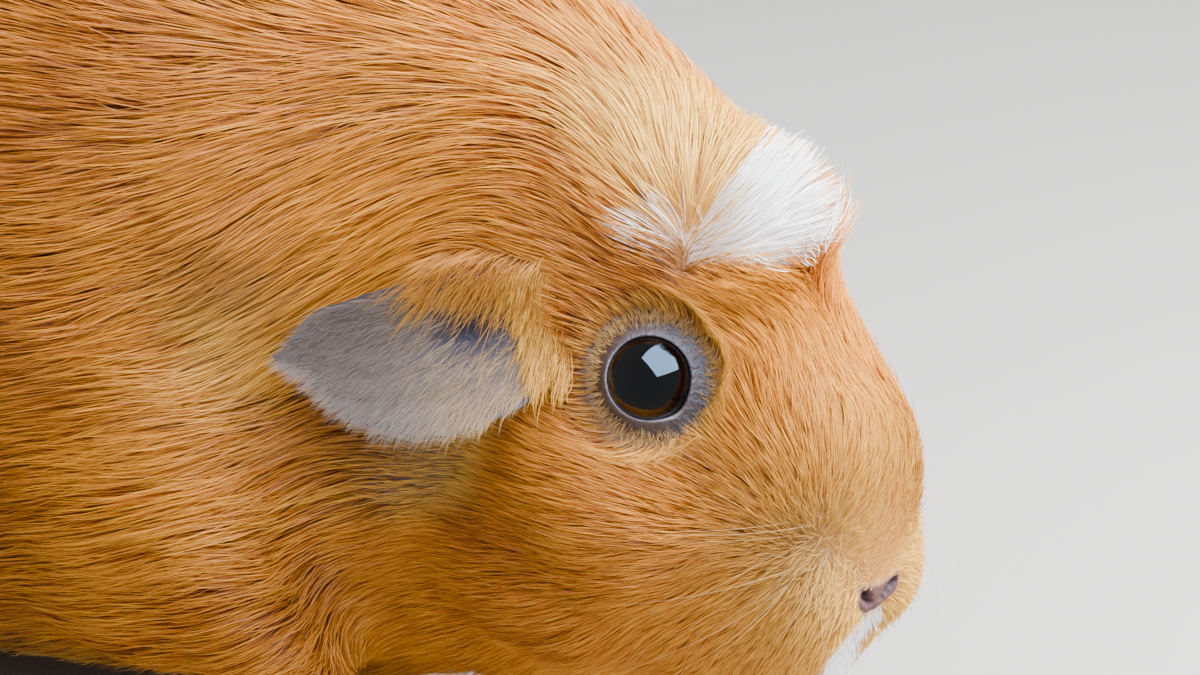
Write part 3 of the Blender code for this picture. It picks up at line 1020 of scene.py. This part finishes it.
def blade_points(strands, outward, widths, rolls):
    """Left and right points at each step, then the tip, for every strand."""
    count, steps = len(strands), strands.shape[1] - 1
    ways = unit(np.diff(strands, axis=1))
    across = unit(np.cross(ways, outward))
    turn = rolls[:, None, None]
    across = across * np.cos(turn) + np.cross(ways, across) * np.sin(turn)
    along = np.arange(steps) / steps
    taper = 0.8 + 0.5 * along - 0.95 * along * along  # widest a quarter of the way up
    half = across * (widths[:, None] * taper)[..., None] / 2
    pairs = np.stack([strands[:, :-1] - half, strands[:, :-1] + half], 2)
    return np.concatenate([pairs.reshape(count, -1, 3), strands[:, -1:]], 1)


def blade_corners(steps):
    """The corners of one blade's faces: a quad for each step, and a triangle at its tip."""
    quads = [(2 * s, 2 * s + 1, 2 * s + 3, 2 * s + 2) for s in range(steps - 1)]
    return quads + [(2 * steps - 2, 2 * steps - 1, 2 * steps)]


def blades_mesh(name, points, root_places):
    """One mesh of many blades, with a patch for each at its root's place on the map."""
    count, each = points.shape[:2]
    faces = blade_corners((each - 1) // 2)
    corners = np.concatenate([np.array(face) for face in faces])
    sizes = np.array([len(face) for face in faces])
    mesh = bpy.data.meshes.new(name)
    mesh.vertices.add(count * each)
    mesh.vertices.foreach_set("co", (points * MM).astype(np.float32).ravel())
    index = np.arange(count)[:, None] * each + corners
    mesh.loops.add(index.size)
    mesh.loops.foreach_set("vertex_index", index.astype(np.int32).ravel())
    starts = np.concatenate([[0], np.cumsum(sizes)[:-1]])
    starts = np.arange(count)[:, None] * sizes.sum() + starts
    mesh.polygons.add(starts.size)
    mesh.polygons.foreach_set("loop_start", starts.astype(np.int32).ravel())
    mesh.update(calc_edges=True)
    mesh.shade_smooth()
    steps = (each - 1) // 2
    patch = np.stack([np.arange(each) % 2, np.arange(each) // 2 / steps], -1) - 0.5
    places = root_places[:, None] + PATCH * patch[corners]
    layer = mesh.uv_layers.new(name="OFBake")
    layer.uv.foreach_set("vector", places.astype(np.float32).ravel())
    return linked(name, mesh)


# %% [markdown]
# ## A map of the skin
# For the coat to carry its colours in an image, every tuft needs its own small patch on a
# map. Unwrapping the skin gives the map, and a tuft's patch lies where its root does.

# %% Unwrap the skin
UNWRAP_ANGLE = math.radians(66)
UNWRAP_MARGIN = 0.002


def unwrap(made):
    bpy.ops.object.select_all(action="DESELECT")
    bpy.context.view_layer.objects.active = made
    made.select_set(True)
    made.data.uv_layers.new(name="OFBake")
    bpy.ops.object.mode_set(mode="EDIT")
    bpy.ops.mesh.select_all(action="SELECT")
    bpy.ops.uv.smart_project(angle_limit=UNWRAP_ANGLE, island_margin=UNWRAP_MARGIN)
    bpy.ops.object.mode_set(mode="OBJECT")
    places = np.empty(len(made.data.loops) * 2, np.float32)
    made.data.uv_layers["OFBake"].uv.foreach_get("vector", places)
    return places.reshape(-1, 2)


skin_map = unwrap(skin)
print("map of the skin:", skin_map.min(0).round(3), skin_map.max(0).round(3))

# %% [markdown]
# ## Coat pieces
# The coat is grown twice over: fine short hair with few steps on the face and feet, and long
# hair with more steps on the body and crest. It is shared out in pieces by where each tuft's
# root is, as a piece may not have more than two hundred thousand triangles.

# %% Grow the coat
MOST_TRIANGLES = 190000
CREST_FRONT, CREST_LIFT = (0.0, 0.0, 16.0), 5.0
THROAT, THROAT_LIFT = (-2.0, -18.0, -44.0), 1.8
FOOT_LIFT, EAR_PRESS = 0.6, 1.3
LENGTH_SPREAD, WIDTH_SPREAD, ROLL_SPREAD = (0.75, 1.2), (0.75, 1.3), 0.6
PAD_STRAY, WAVE_STRAY = 6, 0.10


def under_ears(points):
    """1 where an ear lies close over the coat and presses it down, and 0 elsewhere."""
    found = np.zeros(len(points))
    for side, _ in SIDES:
        turn = np.array(ear_frame(side))
        x, y, out = ((points - turn[:3, 3]) @ turn[:3, :3]).T
        share = ear_share(x)
        middle, half = ear_line(np.clip(share, -1, 1))
        across = np.hypot(np.abs(share), (y - middle) / half)
        found = np.maximum(found, fade(across, 0.8, 1.1) * (np.abs(out) < 12))
    return found


def tip_heights(roots):
    """How far each tuft's tip stands above the coat's outside, mostly a little below it."""
    count = len(roots)
    depths, _ = depth_and_outward(roots)
    ahead, by_eye = in_head(roots), near_eyes(roots)
    heights = -depths * random.random(count) ** 1.2 * (0.45 + 0.25 * by_eye)
    heights -= 0.35 * depths * by_eye + FOLD_DEPTH * fold_share(roots)
    heights += 0.9 * (random.random(count) < 0.05) * (1 - by_eye)  # one in twenty stands out
    heights += CREST_LIFT * random.random(count) * bump_at(ahead, CREST_FRONT, 9)
    heights += THROAT_LIFT * random.random(count) * bump_at(ahead, THROAT, (25, 20, 12))
    heights -= EAR_PRESS * under_ears(roots)
    heights += FOOT_LIFT * random.random(count) * below(roots, 8, 14)
    return np.maximum(heights, -0.8 * depths)


def coat_piece(name, blades, places, values):
    """One piece of hair, with its values kept at every point of every blade."""
    count, points = blades.shape[:2]
    steps = (points - 1) // 2
    piece = blades_mesh(name, blades, places)
    for value_name, value in values.items():
        set_values(piece, value_name, np.repeat(np.broadcast_to(value, count), points))
    along = np.append(np.repeat(np.arange(steps) / steps, 2), 1.0)
    set_values(piece, "along", np.tile(along, count))
    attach(piece, "root")
    return piece


def grow_coat(name, count, crowding, steps, each_lock, pull, apart, stray):
    """Grows count tufts and shares them out in pieces from the rump to the nose."""
    triangles, shares = scattered(count, crowding)
    roots = np.einsum("nk,nkj->nj", shares, skin_spots[triangles])
    places = np.einsum("nk,nkj->nj", shares, skin_map[skin_loops[triangles]])
    lengths = hair_length(roots) * random.uniform(*LENGTH_SPREAD, count)
    heights = tip_heights(roots)
    strays = random.normal(0, stray, roots.shape)
    strays *= 1 + PAD_STRAY * near_pads(roots)[:, None]
    strays += WAVE_STRAY * wave_ways(roots, 9, (21, 22, 23))
    strands = grown(roots, steps, lengths, heights, strays)
    leaders = lock_leaders(roots, each_lock)
    strands = drawn_together(strands, leaders, pull, apart)
    widths = hair_width(roots) * random.uniform(*WIDTH_SPREAD, count)
    _, outward = depth_and_outward(strands[:, :-1].reshape(-1, 3))
    outward = outward.reshape(count, steps, 3)
    rolls = random.normal(0, ROLL_SPREAD, count)
    blades = blade_points(strands, outward, widths, rolls)
    shade = 0.55 * random.random(count) + 0.45 * random.random(count)[leaders]
    half_way = strands[:, steps // 2]
    white = white_share(roots) > random.random(count)
    on_pad = near_pads(roots) > 1.1 * random.random(count)
    values = {
        "white": white,
        "cream_and_painted_highlight": cream_and_painted_highlight_share(half_way),
        "dark_and_painted_shade": np.maximum(dark_and_painted_shade_share(half_way), on_pad),
        "shade": shade,
        "down": np.zeros(count),
    }
    parts = math.ceil(count * (2 * steps - 1) / MOST_TRIANGLES)
    pieces = []
    for number, chosen in enumerate(np.array_split(np.argsort(roots[:, 0]), parts), 1):
        own = {value_name: value[chosen] for value_name, value in values.items()}
        pieces.append(coat_piece(f"{name}_{number}", blades[chosen], places[chosen], own))
    print(name, count, "tufts in", len(pieces), "pieces")
    return pieces


coat = grow_coat(
    "coat_short", count=190000, crowding=face_crowding, steps=2,
    each_lock=11, pull=(0.15, 0.6), apart=1.2, stray=0.10,
)
coat += grow_coat(
    "coat_long", count=108000, crowding=body_crowding, steps=4,
    each_lock=9, pull=(0.2, 0.65), apart=3.0, stray=0.07,
)

# %% [markdown]
# ## Down on the ears, and the fringe over their roots
# An ear is thinly covered with fine pale down, which runs from the root's upper corner to the
# rim. Longer hairs of the head hang over the root and hide where the ear is joined on.

# %% Ear down and fringe
EAR_SOURCE = (-28.0, 11.0)  # down runs away from here, as told along and up the ear
FRINGE_SOURCE = (-27.0, 19.0)
EAR_SAG = 1.5
FRINGE_ROOT_DEPTH = 1.4
MAP_MARGIN = 0.01
DOWN_COUNT, FRINGE_COUNT, FUZZ_COUNT = 9500, 2000, 2400
FINE_ROLL = 0.5


def ear_strands(side, x, y, steps, lengths, lifts, strays, source=EAR_SOURCE):
    """Strands that lie over an ear's outer face, each lifted as it goes, and their way out."""
    outer = np.array(ear_frame(side))[:3, 2] * side
    places = []
    for step in range(steps + 1):
        share = step / steps
        stand = ear_stand(x, y) + EAR_THICKNESS / 2
        lift = lifts[0] + (lifts[1] - lifts[0]) * math.sin(share * 0.75 * math.pi)
        places.append(from_ear(x, y, stand + lift * strays[:, 2], side))
        way = np.stack([x - source[0], y - source[1] - EAR_SAG * (1 + 2 * share)], -1)
        way = unit(way) + strays[:, :2]
        x = x + way[:, 0] * lengths / steps
        y = y + way[:, 1] * lengths / steps
    strands = np.stack(places, 1)
    if source == FRINGE_SOURCE:
        depth, outward = depth_and_outward(strands[:, 0])
        strands[:, 0] -= outward * (FRINGE_ROOT_DEPTH - depth)[:, None]
    return strands, np.broadcast_to(outer, (len(x), steps, 3))


def ear_strays(count, spread, low, high):
    """How far each strand strays along and up the ear, and its share of the lift."""
    aside = [random.normal(0, spread, count) for _ in range(2)]
    return np.stack([*aside, random.uniform(low, high, count)], -1)


def hair_piece(name, strands, outward, widths, values, map_places):
    """One piece of fine hair, with its own map."""
    count = len(strands)
    widths = random.uniform(*widths, count)
    blades = blade_points(strands, outward, widths, random.normal(0, FINE_ROLL, count))
    places = MAP_MARGIN + (1 - 2 * MAP_MARGIN) * np.clip(map_places, 0, 1)
    return coat_piece(name, blades, places, {"white": 0.0, **values})


def on_ear_map(x, y):
    """The ear seen flat from its outer side, as places on a map."""
    return np.stack([x, y], -1) / EAR_LENGTH + 0.5


def down_on(side, name, count):
    turn, reach = random.uniform(0, 2 * math.pi, count), np.sqrt(random.uniform(0, 0.9, count))
    share, up = reach * np.cos(turn), reach * np.sin(turn)
    middle, half = ear_line(share)
    x, y = EAR_BACK + share * EAR_LENGTH / 2, middle + up * half
    kept = random.random(count) > 0.8 * ear_hollow(x, y) + 0.3 * ease(-x, 2, 12)
    share, x, y, count = share[kept], x[kept], y[kept], int(kept.sum())
    strays = ear_strays(count, 0.22, 0.3, 1.3)
    lengths = random.uniform(1.2, 2.6, count) * (1.2 - 0.3 * share)
    lifts = (-0.08, 0.22)
    strands, outward = ear_strands(side, x, y, 2, lengths, lifts, strays)
    golden = fade(x, -12, 4) * (0.5 + 0.5 * random.random(count))
    values = {"white": 0.1, "cream_and_painted_highlight": 0.8, "dark_and_painted_shade": 0.0, "down": 1 - 0.5 * golden}
    values["shade"] = random.random(count)
    return hair_piece(name, strands, outward, (0.04, 0.075), values, on_ear_map(x, y))


def fringe_over(side, name, count):
    """Half of the hairs hang over the ear's upper edge, and half cover its front."""
    above = random.random(count) < 0.5
    upper = -20 + 15 * random.random(count) ** 1.6
    x = np.where(above, upper, random.uniform(-19.5, -15.0, count))
    upper = random.uniform(7.5, 12.0, count) - 0.03 * (x + 8) ** 2
    y = np.where(above, upper, random.uniform(-5, 9, count))
    strays = ear_strays(count, 0.2, 0.4, 1.3)
    upper = random.uniform(3, 8.5, count)
    lengths = np.where(above, upper, random.uniform(2.5, 5.5, count))
    lifts = (-1.2, 0.8)
    strands, outward = ear_strands(side, x, y, 4, lengths, lifts, strays, FRINGE_SOURCE)
    leaders = lock_leaders(strands[:, 0], each=12)
    strands = drawn_together(strands, leaders, pull=(0.1, 0.7), apart=2.5)
    values = {"cream_and_painted_highlight": np.where(above, 0.2, 0.45), "dark_and_painted_shade": np.where(above, 0.35, 0.1)}
    values.update(down=0.0, shade=random.random(count))
    return hair_piece(name, strands, outward, (0.07, 0.12), values, on_ear_map(x, y))


for side, side_name in SIDES:
    coat.append(down_on(side, f"ear_down_{side_name}", DOWN_COUNT))
    coat.append(fringe_over(side, f"ear_fringe_{side_name}", FRINGE_COUNT))
print("ear down and fringe:", sum(len(piece.data.polygons) for piece in coat[-4:]), "faces")

# %% [markdown]
# ## Fuzz round the eyes
# The bare band of each lid has no sharp edge. Very short pale hairs stand on its outer half
# and point away from the eye, thin at first and thicker towards the coat.

# %% Lid fuzz
def lid_fuzz(side, name, count):
    turns = random.uniform(0, 2 * math.pi, count)
    away = 7.1 - 1.55 * np.sqrt(random.random(count))[::-1] * random.random(count) ** 0.5
    rows = np.array(LID_RINGS).T
    height, pull = (np.interp(away, rows[0], rows[row]) for row in (1, 2))
    spots, ways = lid_spots(side, turns, away, height, pull, np.zeros(count))
    look, _, _ = eye_axes(side)
    spots = spots + look * (1.8 * ease(away, *LID_DIP))[:, None]
    ways = unit(ways + random.normal(0, 0.25, (count, 3)))
    lengths = random.uniform(0.5, 1.5, count)[:, None]
    middles = spots + ways * lengths * 0.5 + look * random.uniform(0.1, 0.4, count)[:, None]
    tips = spots + ways * lengths + look * random.uniform(0.0, 0.5, count)[:, None]
    strands = from_head(np.stack([spots - 0.1 * look, middles, tips], 1))
    outward = np.broadcast_to(look @ head_axes.T, (count, 2, 3))
    places = np.stack([turns / (2 * math.pi), (away - away.min()) / np.ptp(away)], -1)
    values = {"cream_and_painted_highlight": 0.6, "dark_and_painted_shade": 0.2, "shade": random.random(count), "down": 0.4}
    return hair_piece(name, strands, outward, (0.05, 0.09), values, places)


for side, side_name in SIDES:
    coat.append(lid_fuzz(side, f"lid_fuzz_{side_name}", FUZZ_COUNT))
print("lid fuzz:", len(coat[-1].data.polygons), "faces an eye")

# %% [markdown]
# ## Whiskers
# Whiskers are few, long and stiff. Each is one thin tapered strand, drawn as a narrow tube of
# three sides, which leaves the pad beside the nose and bends outwards and back.

# %% Grow the whiskers
WHISKER_COUNT, WHISKER_STEPS = 16, 12
WHISKER_CURL = (-0.35, -0.12, -0.12)
WHISKER_ROOT_DEPTH = 1.5
WHISKER_WIDTH = 0.065
WHISKER_CLEARANCE = 11.0  # no whisker passes in front of an eye


def whisker_line(side, start, way, length):
    """Points of one whisker, from its root in the pad outwards, bending steadily."""
    share = np.linspace(0, 1, WHISKER_STEPS + 1)[:, None]
    bend = mirrored(WHISKER_CURL, side) * length * share**2
    line = mirrored(start, side) + unit(mirrored(way, side)) * length * share + bend
    line = from_head(line)
    depth, outward = depth_and_outward(line[:1])
    line = line - outward[0] * (WHISKER_ROOT_DEPTH - depth[0])
    line[:, 2] = np.maximum(line[:, 2], FLOOR_CLEARANCE)
    return line


def tube_round(bm, line, width):
    """Bridges small triangles along a line into a tapered tube with closed ends."""
    rings = []
    for number, spot in enumerate(line):
        way = Vector(line[min(number + 1, len(line) - 1)] - line[max(number - 1, 0)])
        turn = way.to_track_quat("Z", "Y").to_matrix().to_4x4()
        radius = width / 2 * (1.02 - number / (len(line) - 1))
        place = Matrix.Translation(Vector(spot) * MM) @ turn
        at_end = number in (0, len(line) - 1)
        ring = bmesh.ops.create_circle(
            bm, segments=3, radius=radius * MM, matrix=place, cap_ends=at_end
        )
        rings.append(edges_of(ring["verts"]))
    bridged(bm, rings)


def whiskers(side, name, count):
    bm = bmesh.new()
    for number in range(count):
        row, place = number % 4, number // 4 / (count // 4)
        spot = PAD + (1.2 - 6.5 * place, 0.3 + 2.2 * place, 3.6 - 2.6 * row)
        spot = spot + random.normal(0, 0.8, 3)
        way = np.array((0.55 - 1.1 * place, 0.8, 0.0 - 0.24 * row)) + random.normal(0, 0.2, 3)
        length = random.uniform(14, 22) + 12 * place
        line = whisker_line(side, spot, way, length)
        away, height = eye_angles(line, side)
        if ((away < WHISKER_CLEARANCE) & (height > 0)).any():
            continue
        tube_round(bm, line, WHISKER_WIDTH * random.uniform(0.7, 1.2))
    bmesh.ops.recalc_face_normals(bm, faces=bm.faces)
    return new_piece(name, bm)


whisker_pieces = [whiskers(side, f"whiskers_{name}", WHISKER_COUNT) for side, name in SIDES]
for piece in whisker_pieces:
    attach(piece, "root")
print("whiskers:", len(whisker_pieces[0].data.polygons), "faces a side")

# %% [markdown]
# ## Finishes
# A finish is a material: a small net of nodes that ends in the Principled shader. Each one
# here lays a few colours over each other and says how rough the surface is, so a short helper
# adds and joins the nodes. Patterns read Object coordinates or values kept on the mesh, such
# as how far along its tuft a point lies, so they hold still wherever the camera stands. A
# painted image could do the same, but would need a map and would blur close up.

# %% A helper for finishes
def linear(red, green, blue):
    """A colour picked on screen, from 0 to 255, as the light it stands for."""
    return tuple((value / 255) ** 2.2 for value in (red, green, blue)) + (1.0,)


class Maker:
    """Adds and joins nodes in one material. Colours are given as picked on screen."""

    def __init__(self, name):
        self.material = bpy.data.materials.new(name)
        self.material.use_nodes = True
        self.tree = self.material.node_tree
        self.shader = self.tree.nodes["Principled BSDF"]

    def node(self, kind, **settings):
        made = self.tree.nodes.new(kind)
        for name, value in settings.items():
            setattr(made, name, value)
        return made

    def join(self, source, target):
        self.tree.links.new(source, target)

    def value(self, name):
        return self.node("ShaderNodeAttribute", attribute_name=name).outputs["Fac"]

    def mix(self, share, first, second):
        made = self.node("ShaderNodeMix", data_type="RGBA")
        self.join(share, made.inputs[0])
        for socket, given in ((made.inputs[6], first), (made.inputs[7], second)):
            if isinstance(given, tuple):
                socket.default_value = linear(*given)
            else:
                self.join(given, socket)
        return made.outputs[2]

    def noise(self, scale, detail):
        made = self.node("ShaderNodeTexNoise")
        self.join(self.node("ShaderNodeTexCoord").outputs["Object"], made.inputs["Vector"])
        made.inputs["Scale"].default_value = scale
        made.inputs["Detail"].default_value = detail
        return made.outputs["Fac"]

    def speckle(self, scale, detail, darker, lighter):
        """Fine noise between two colours."""
        return self.mix(self.noise(scale, detail), darker, lighter)

    def ramp(self, share, stops):
        made = self.node("ShaderNodeValToRGB")
        self.join(share, made.inputs["Fac"])
        elements = made.color_ramp.elements
        elements.remove(elements[1])
        for number, (place, colour) in enumerate(stops):
            stop = elements.new(place) if number else elements[0]
            stop.position = place
            stop.color = linear(*colour)
        return made.outputs["Color"]

    def bump(self, scale, detail, strength, distance):
        """Fine unevenness, too small to be worth modelling."""
        made = self.node("ShaderNodeBump")
        made.inputs["Strength"].default_value = strength
        made.inputs["Distance"].default_value = distance * MM
        self.join(self.noise(scale, detail), made.inputs["Height"])
        self.join(made.outputs["Normal"], self.shader.inputs["Normal"])

    def finished(self, colour, roughness, specular=0.5):
        self.join(colour, self.shader.inputs["Base Color"])
        self.shader.inputs["Roughness"].default_value = roughness
        self.shader.inputs["Specular IOR Level"].default_value = specular
        return self.material


def layered(name, body, layers, roughness, bump=None):
    """A speckled body, with a colour or another speckle laid over it for each named value."""
    maker = Maker(name)
    colour = maker.speckle(*body)
    for value, over in layers:
        over = maker.speckle(*over) if len(over) == 4 else over
        colour = maker.mix(maker.value(value), colour, over)
    if bump:
        maker.bump(*bump)
    return maker.finished(colour, roughness)


def finish_with(made, material):
    made.data.materials.clear()
    made.data.materials.append(material)


# %% [markdown]
# ## The coat's colours
# Each ginger hair is deep brown-red at its root and golden at its tip, which is what makes a
# coat look deep, so every colour here is a ramp along the tuft. Tufts differ a little from
# each other between a deep and a bright ginger. The markings are values kept on each tuft, and
# a colour is laid over where they say so; the dark one carries painted shade as well, and the
# cream one a painted highlight. Hair has a broad, weak sheen.

# %% Coat
TUFT_COLOURS = (
    # what says how much of it shows, then colours from a tuft's root to its tip
    ("shade", ((0.0, (140, 68, 12)), (0.45, (214, 128, 20)), (1.0, (244, 176, 44)))),
    # darker hair, with the painted shade in the neck folds, under the ears and low down
    ("dark_and_painted_shade", ((0.0, (76, 30, 6)), (1.0, (160, 82, 18)))),
    # cream hair, with the painted highlight on the shoulders
    ("cream_and_painted_highlight", ((0.0, (214, 152, 56)), (1.0, (255, 216, 100)))),
    ("white", ((0.0, (232, 226, 222)), (0.5, (250, 251, 254)))),
    ("down", ((0.0, (86, 76, 78)), (1.0, (162, 148, 138)))),
)
DEEP_GINGER = ((0.0, (100, 42, 6)), (0.5, (178, 92, 12)), (1.0, (220, 140, 30)))

maker = Maker("coat")
along = maker.value("along")
colour = maker.ramp(along, DEEP_GINGER)
for value, stops in TUFT_COLOURS:
    colour = maker.mix(maker.value(value), colour, maker.ramp(along, stops))
coat_finish = maker.finished(colour, roughness=0.55, specular=0.25)
for piece in coat:
    finish_with(piece, coat_finish)
print("coat:", len(TUFT_COLOURS) + 1, "colours on", len(coat), "pieces")

# %% [markdown]
# ## Skin and nose
# Skin shows between the tufts, so it carries the same markings, painted shade and highlight
# included: warm brown under ginger hair and pale under white. On the feet it is pinker, round
# the eyes grey, and on the nose it is bare, mauve-brown leather. Painted shade makes it nearly
# black inside the nostrils and along the groove to the lips. A fine bump gives it pores.

# %% Skin
on_skin = points_of(skin)
ahead = in_head(on_skin)
for name, values in (
    ("white", white_share(on_skin)),
    ("cream_and_painted_highlight", cream_and_painted_highlight_share(on_skin)),
    ("dark_and_painted_shade", dark_and_painted_shade_share(on_skin)),
    ("leather", nose_leather(ahead)),
    ("foot", below(on_skin, 3, 9)),
    ("lid", near_lids(on_skin)),
    # painted shade, nearly black, in the nostrils and in the groove down to the lips
    ("inside", np.maximum(nostrils(ahead), 0.6 * lip_line(ahead))),
):
    set_values(skin, name, values)
SKIN_LAYERS = (
    # darker skin, with the same painted shade
    ("dark_and_painted_shade", (76, 34, 10)),
    # paler skin, with the same painted highlight
    ("cream_and_painted_highlight", (206, 156, 100)),
    ("foot", (150, 102, 80)),
    ("lid", (1800, 5, (86, 74, 76), (132, 116, 116))),
    ("white", (232, 214, 204)),
    ("leather", (1600, 5, (80, 50, 50), (122, 84, 82))),
    # painted shade inside the nostrils and along the lip groove
    ("inside", (34, 16, 16)),
)
SKIN_BODY = (900, 3, (120, 58, 18), (152, 82, 30))
skin_finish = layered("skin_under_coat", SKIN_BODY, SKIN_LAYERS, 0.55, (2600, 4, 0.45, 0.25))
finish_with(skin, skin_finish)
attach(skin, "root")
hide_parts(*FLESH)
print("skin:", len(SKIN_LAYERS), "layers of colour")

# %% [markdown]
# ## Eyes, lids and ears
# An eye is nearly black, and what makes it look alive is its wet gloss: a very low roughness,
# so that it mirrors the sky. Lids are grey-mauve and wrinkled, with a painted highlight on the
# wet margin of the lower lid, where it catches the light. Ears are thin mauve-grey skin, with
# painted shade in the hollow, pinker at the tip and cooler on the rim. The values that place
# these colours were kept on the meshes as they were made.

# %% Eyes, lids and ears
EYE_COLOURS = (
    # from the middle of the pupil outwards, as shares of a right angle
    (0.00, (4, 4, 6)),
    (0.22, (5, 4, 6)),
    (0.32, (7, 5, 6)),
    (0.42, (9, 6, 6)),
    (0.55, (5, 4, 5)),
)
# the pale wet margin is a painted highlight
LID_BODY, LID_WET_HIGHLIGHT = (900, 5, (58, 49, 51), (106, 93, 93)), (170, 160, 170)
EAR_BODY = (350, 5, (84, 72, 76), (118, 100, 102))
EAR_LAYERS = (
    ("ear_tip", (150, 118, 110)),
    # painted shade in the ear's hollow
    ("ear_hollow", (46, 38, 46)),
    ("ear_edge", (76, 72, 80)),
)
maker = Maker("eye")
colour = maker.ramp(maker.value("look_angle"), EYE_COLOURS)
eye_finish = maker.finished(colour, roughness=0.03, specular=0.75)
lid_finish = layered("lid_skin", LID_BODY, [("wet_highlight", LID_WET_HIGHLIGHT)], 0.42, (2600, 5, 0.8, 0.35))
ear_finish = layered("ear_skin", EAR_BODY, EAR_LAYERS, 0.55, (1800, 5, 0.5, 0.25))
for side, side_name in SIDES:
    finish_with(bpy.data.objects[f"eye_ball_{side_name}"], eye_finish)
    finish_with(ears[side], ear_finish)
    finish_with(lids[side], lid_finish)
print("finishes so far:", [material.name for material in bpy.data.materials])

# %% [markdown]
# ## Whiskers and claws
# Both are made of horn, which is smooth and a little clear, so a slight speckle and a moderate
# gloss are enough. Whiskers are pale straw, and claws a warm grey-brown.

# %% Whiskers and claws
WHISKER_BODY = (300, 3, (190, 136, 74), (222, 184, 128))
CLAW_BODY = (1200, 3, (70, 52, 42), (112, 88, 70))
HORN_ROUGHNESS = 0.35
whisker_finish = layered("whisker", WHISKER_BODY, (), HORN_ROUGHNESS)
for piece in whisker_pieces:
    finish_with(piece, whisker_finish)
claw_finish = layered("claw", CLAW_BODY, (), HORN_ROUGHNESS)
claws = [node for name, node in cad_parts.items() if name.startswith("claw")]
for claw in claws:
    finish_with(claw, claw_finish)
print("claws:", len(claws))

# %% [markdown]
# ## Studio
# The animal stands on a plain matt floor, wide enough to fill any view. Its looks depend on
# soft light, as outdoors in open shade, so every lamp is a large square close by. The key
# comes from above and ahead of the face, a fill from near the camera opens the shadows, and a
# wide one hangs overhead. Only a pale blue sky shows in the eyes, so the other lamps are
# hidden from reflections. A little even light comes from all round.

# %% Floor and camera
FLOOR_BODY, FLOOR_SIZE = (6, 3, (166, 164, 161), (176, 174, 171)), 3
AZIMUTH, ELEVATION = math.radians(32), math.radians(20)
DISTANCE, FRAME_WIDTH, SENSOR = 0.8, 0.1412, 36
FRAME_ASIDE, FRAME_UP = -0.00588, 0.00453  # from the near eye to the middle of the view

bm = bmesh.new()
bmesh.ops.create_grid(bm, x_segments=1, y_segments=1, size=FLOOR_SIZE)
floor = new_piece("floor", bm)
finish_with(floor, layered("floor", FLOOR_BODY, (), 0.8))
floor.visible_glossy = False

level = math.cos(ELEVATION)
back = Vector((math.sin(AZIMUTH) * level, -math.cos(AZIMUTH) * level, math.sin(ELEVATION)))
right = Vector((math.cos(AZIMUTH), math.sin(AZIMUTH), 0))
upward = back.cross(right)
near_eye = Vector(from_head(mirrored(EYE_MIDDLE, -1)) * MM)
target = near_eye + right * FRAME_ASIDE + upward * FRAME_UP
lens = bpy.data.cameras.new("camera")
lens.sensor_width = SENSOR
lens.lens = SENSOR * DISTANCE / FRAME_WIDTH
camera = linked("camera", lens)
turn = Matrix((right, upward, back)).transposed().to_4x4()
camera.matrix_world = Matrix.Translation(target + back * DISTANCE) @ turn
bpy.context.scene.camera = camera
print("lens:", round(lens.lens), "mm")

# %% Lamps and sky
SKY_COLOUR, WORLD_COLOUR, WORLD_STRENGTH = (0.36, 0.64, 1.0), (0.90, 0.95, 1.0, 1), 0.28


def softbox(name, way, distance, size, power):
    """A square area light in a direction from the near eye, facing it."""
    light = bpy.data.lights.new(name, "AREA")
    light.size = size
    light.energy = power
    made = linked(name, light)
    way = Vector(way).normalized()
    turn = way.to_track_quat("Z", "Y").to_matrix().to_4x4()
    made.matrix_world = Matrix.Translation(near_eye + way * distance) @ turn
    return made


for name, way, distance, size, power in (
    ("key", right * 0.85 + upward * 0.80 + back * 0.22, 0.40, 0.35, 10),
    ("fill", right * 0.46 + upward * 0.62 + back * 0.62, 0.50, 0.80, 7),
    ("top", (0.1, -0.1, 1), 1.00, 0.90, 9),
):
    softbox(name, way, distance, size, power).visible_glossy = False
sky = softbox("sky", right * 0.42 + upward * 0.62 + back * 0.62, 0.42, 0.58, 16)
sky.data.color = SKY_COLOUR
sky.visible_diffuse = False
world = bpy.data.worlds.new("studio")
world.use_nodes = True
around = world.node_tree.nodes["Background"].inputs
around["Color"].default_value, around["Strength"].default_value = WORLD_COLOUR, WORLD_STRENGTH
bpy.context.scene.world = world
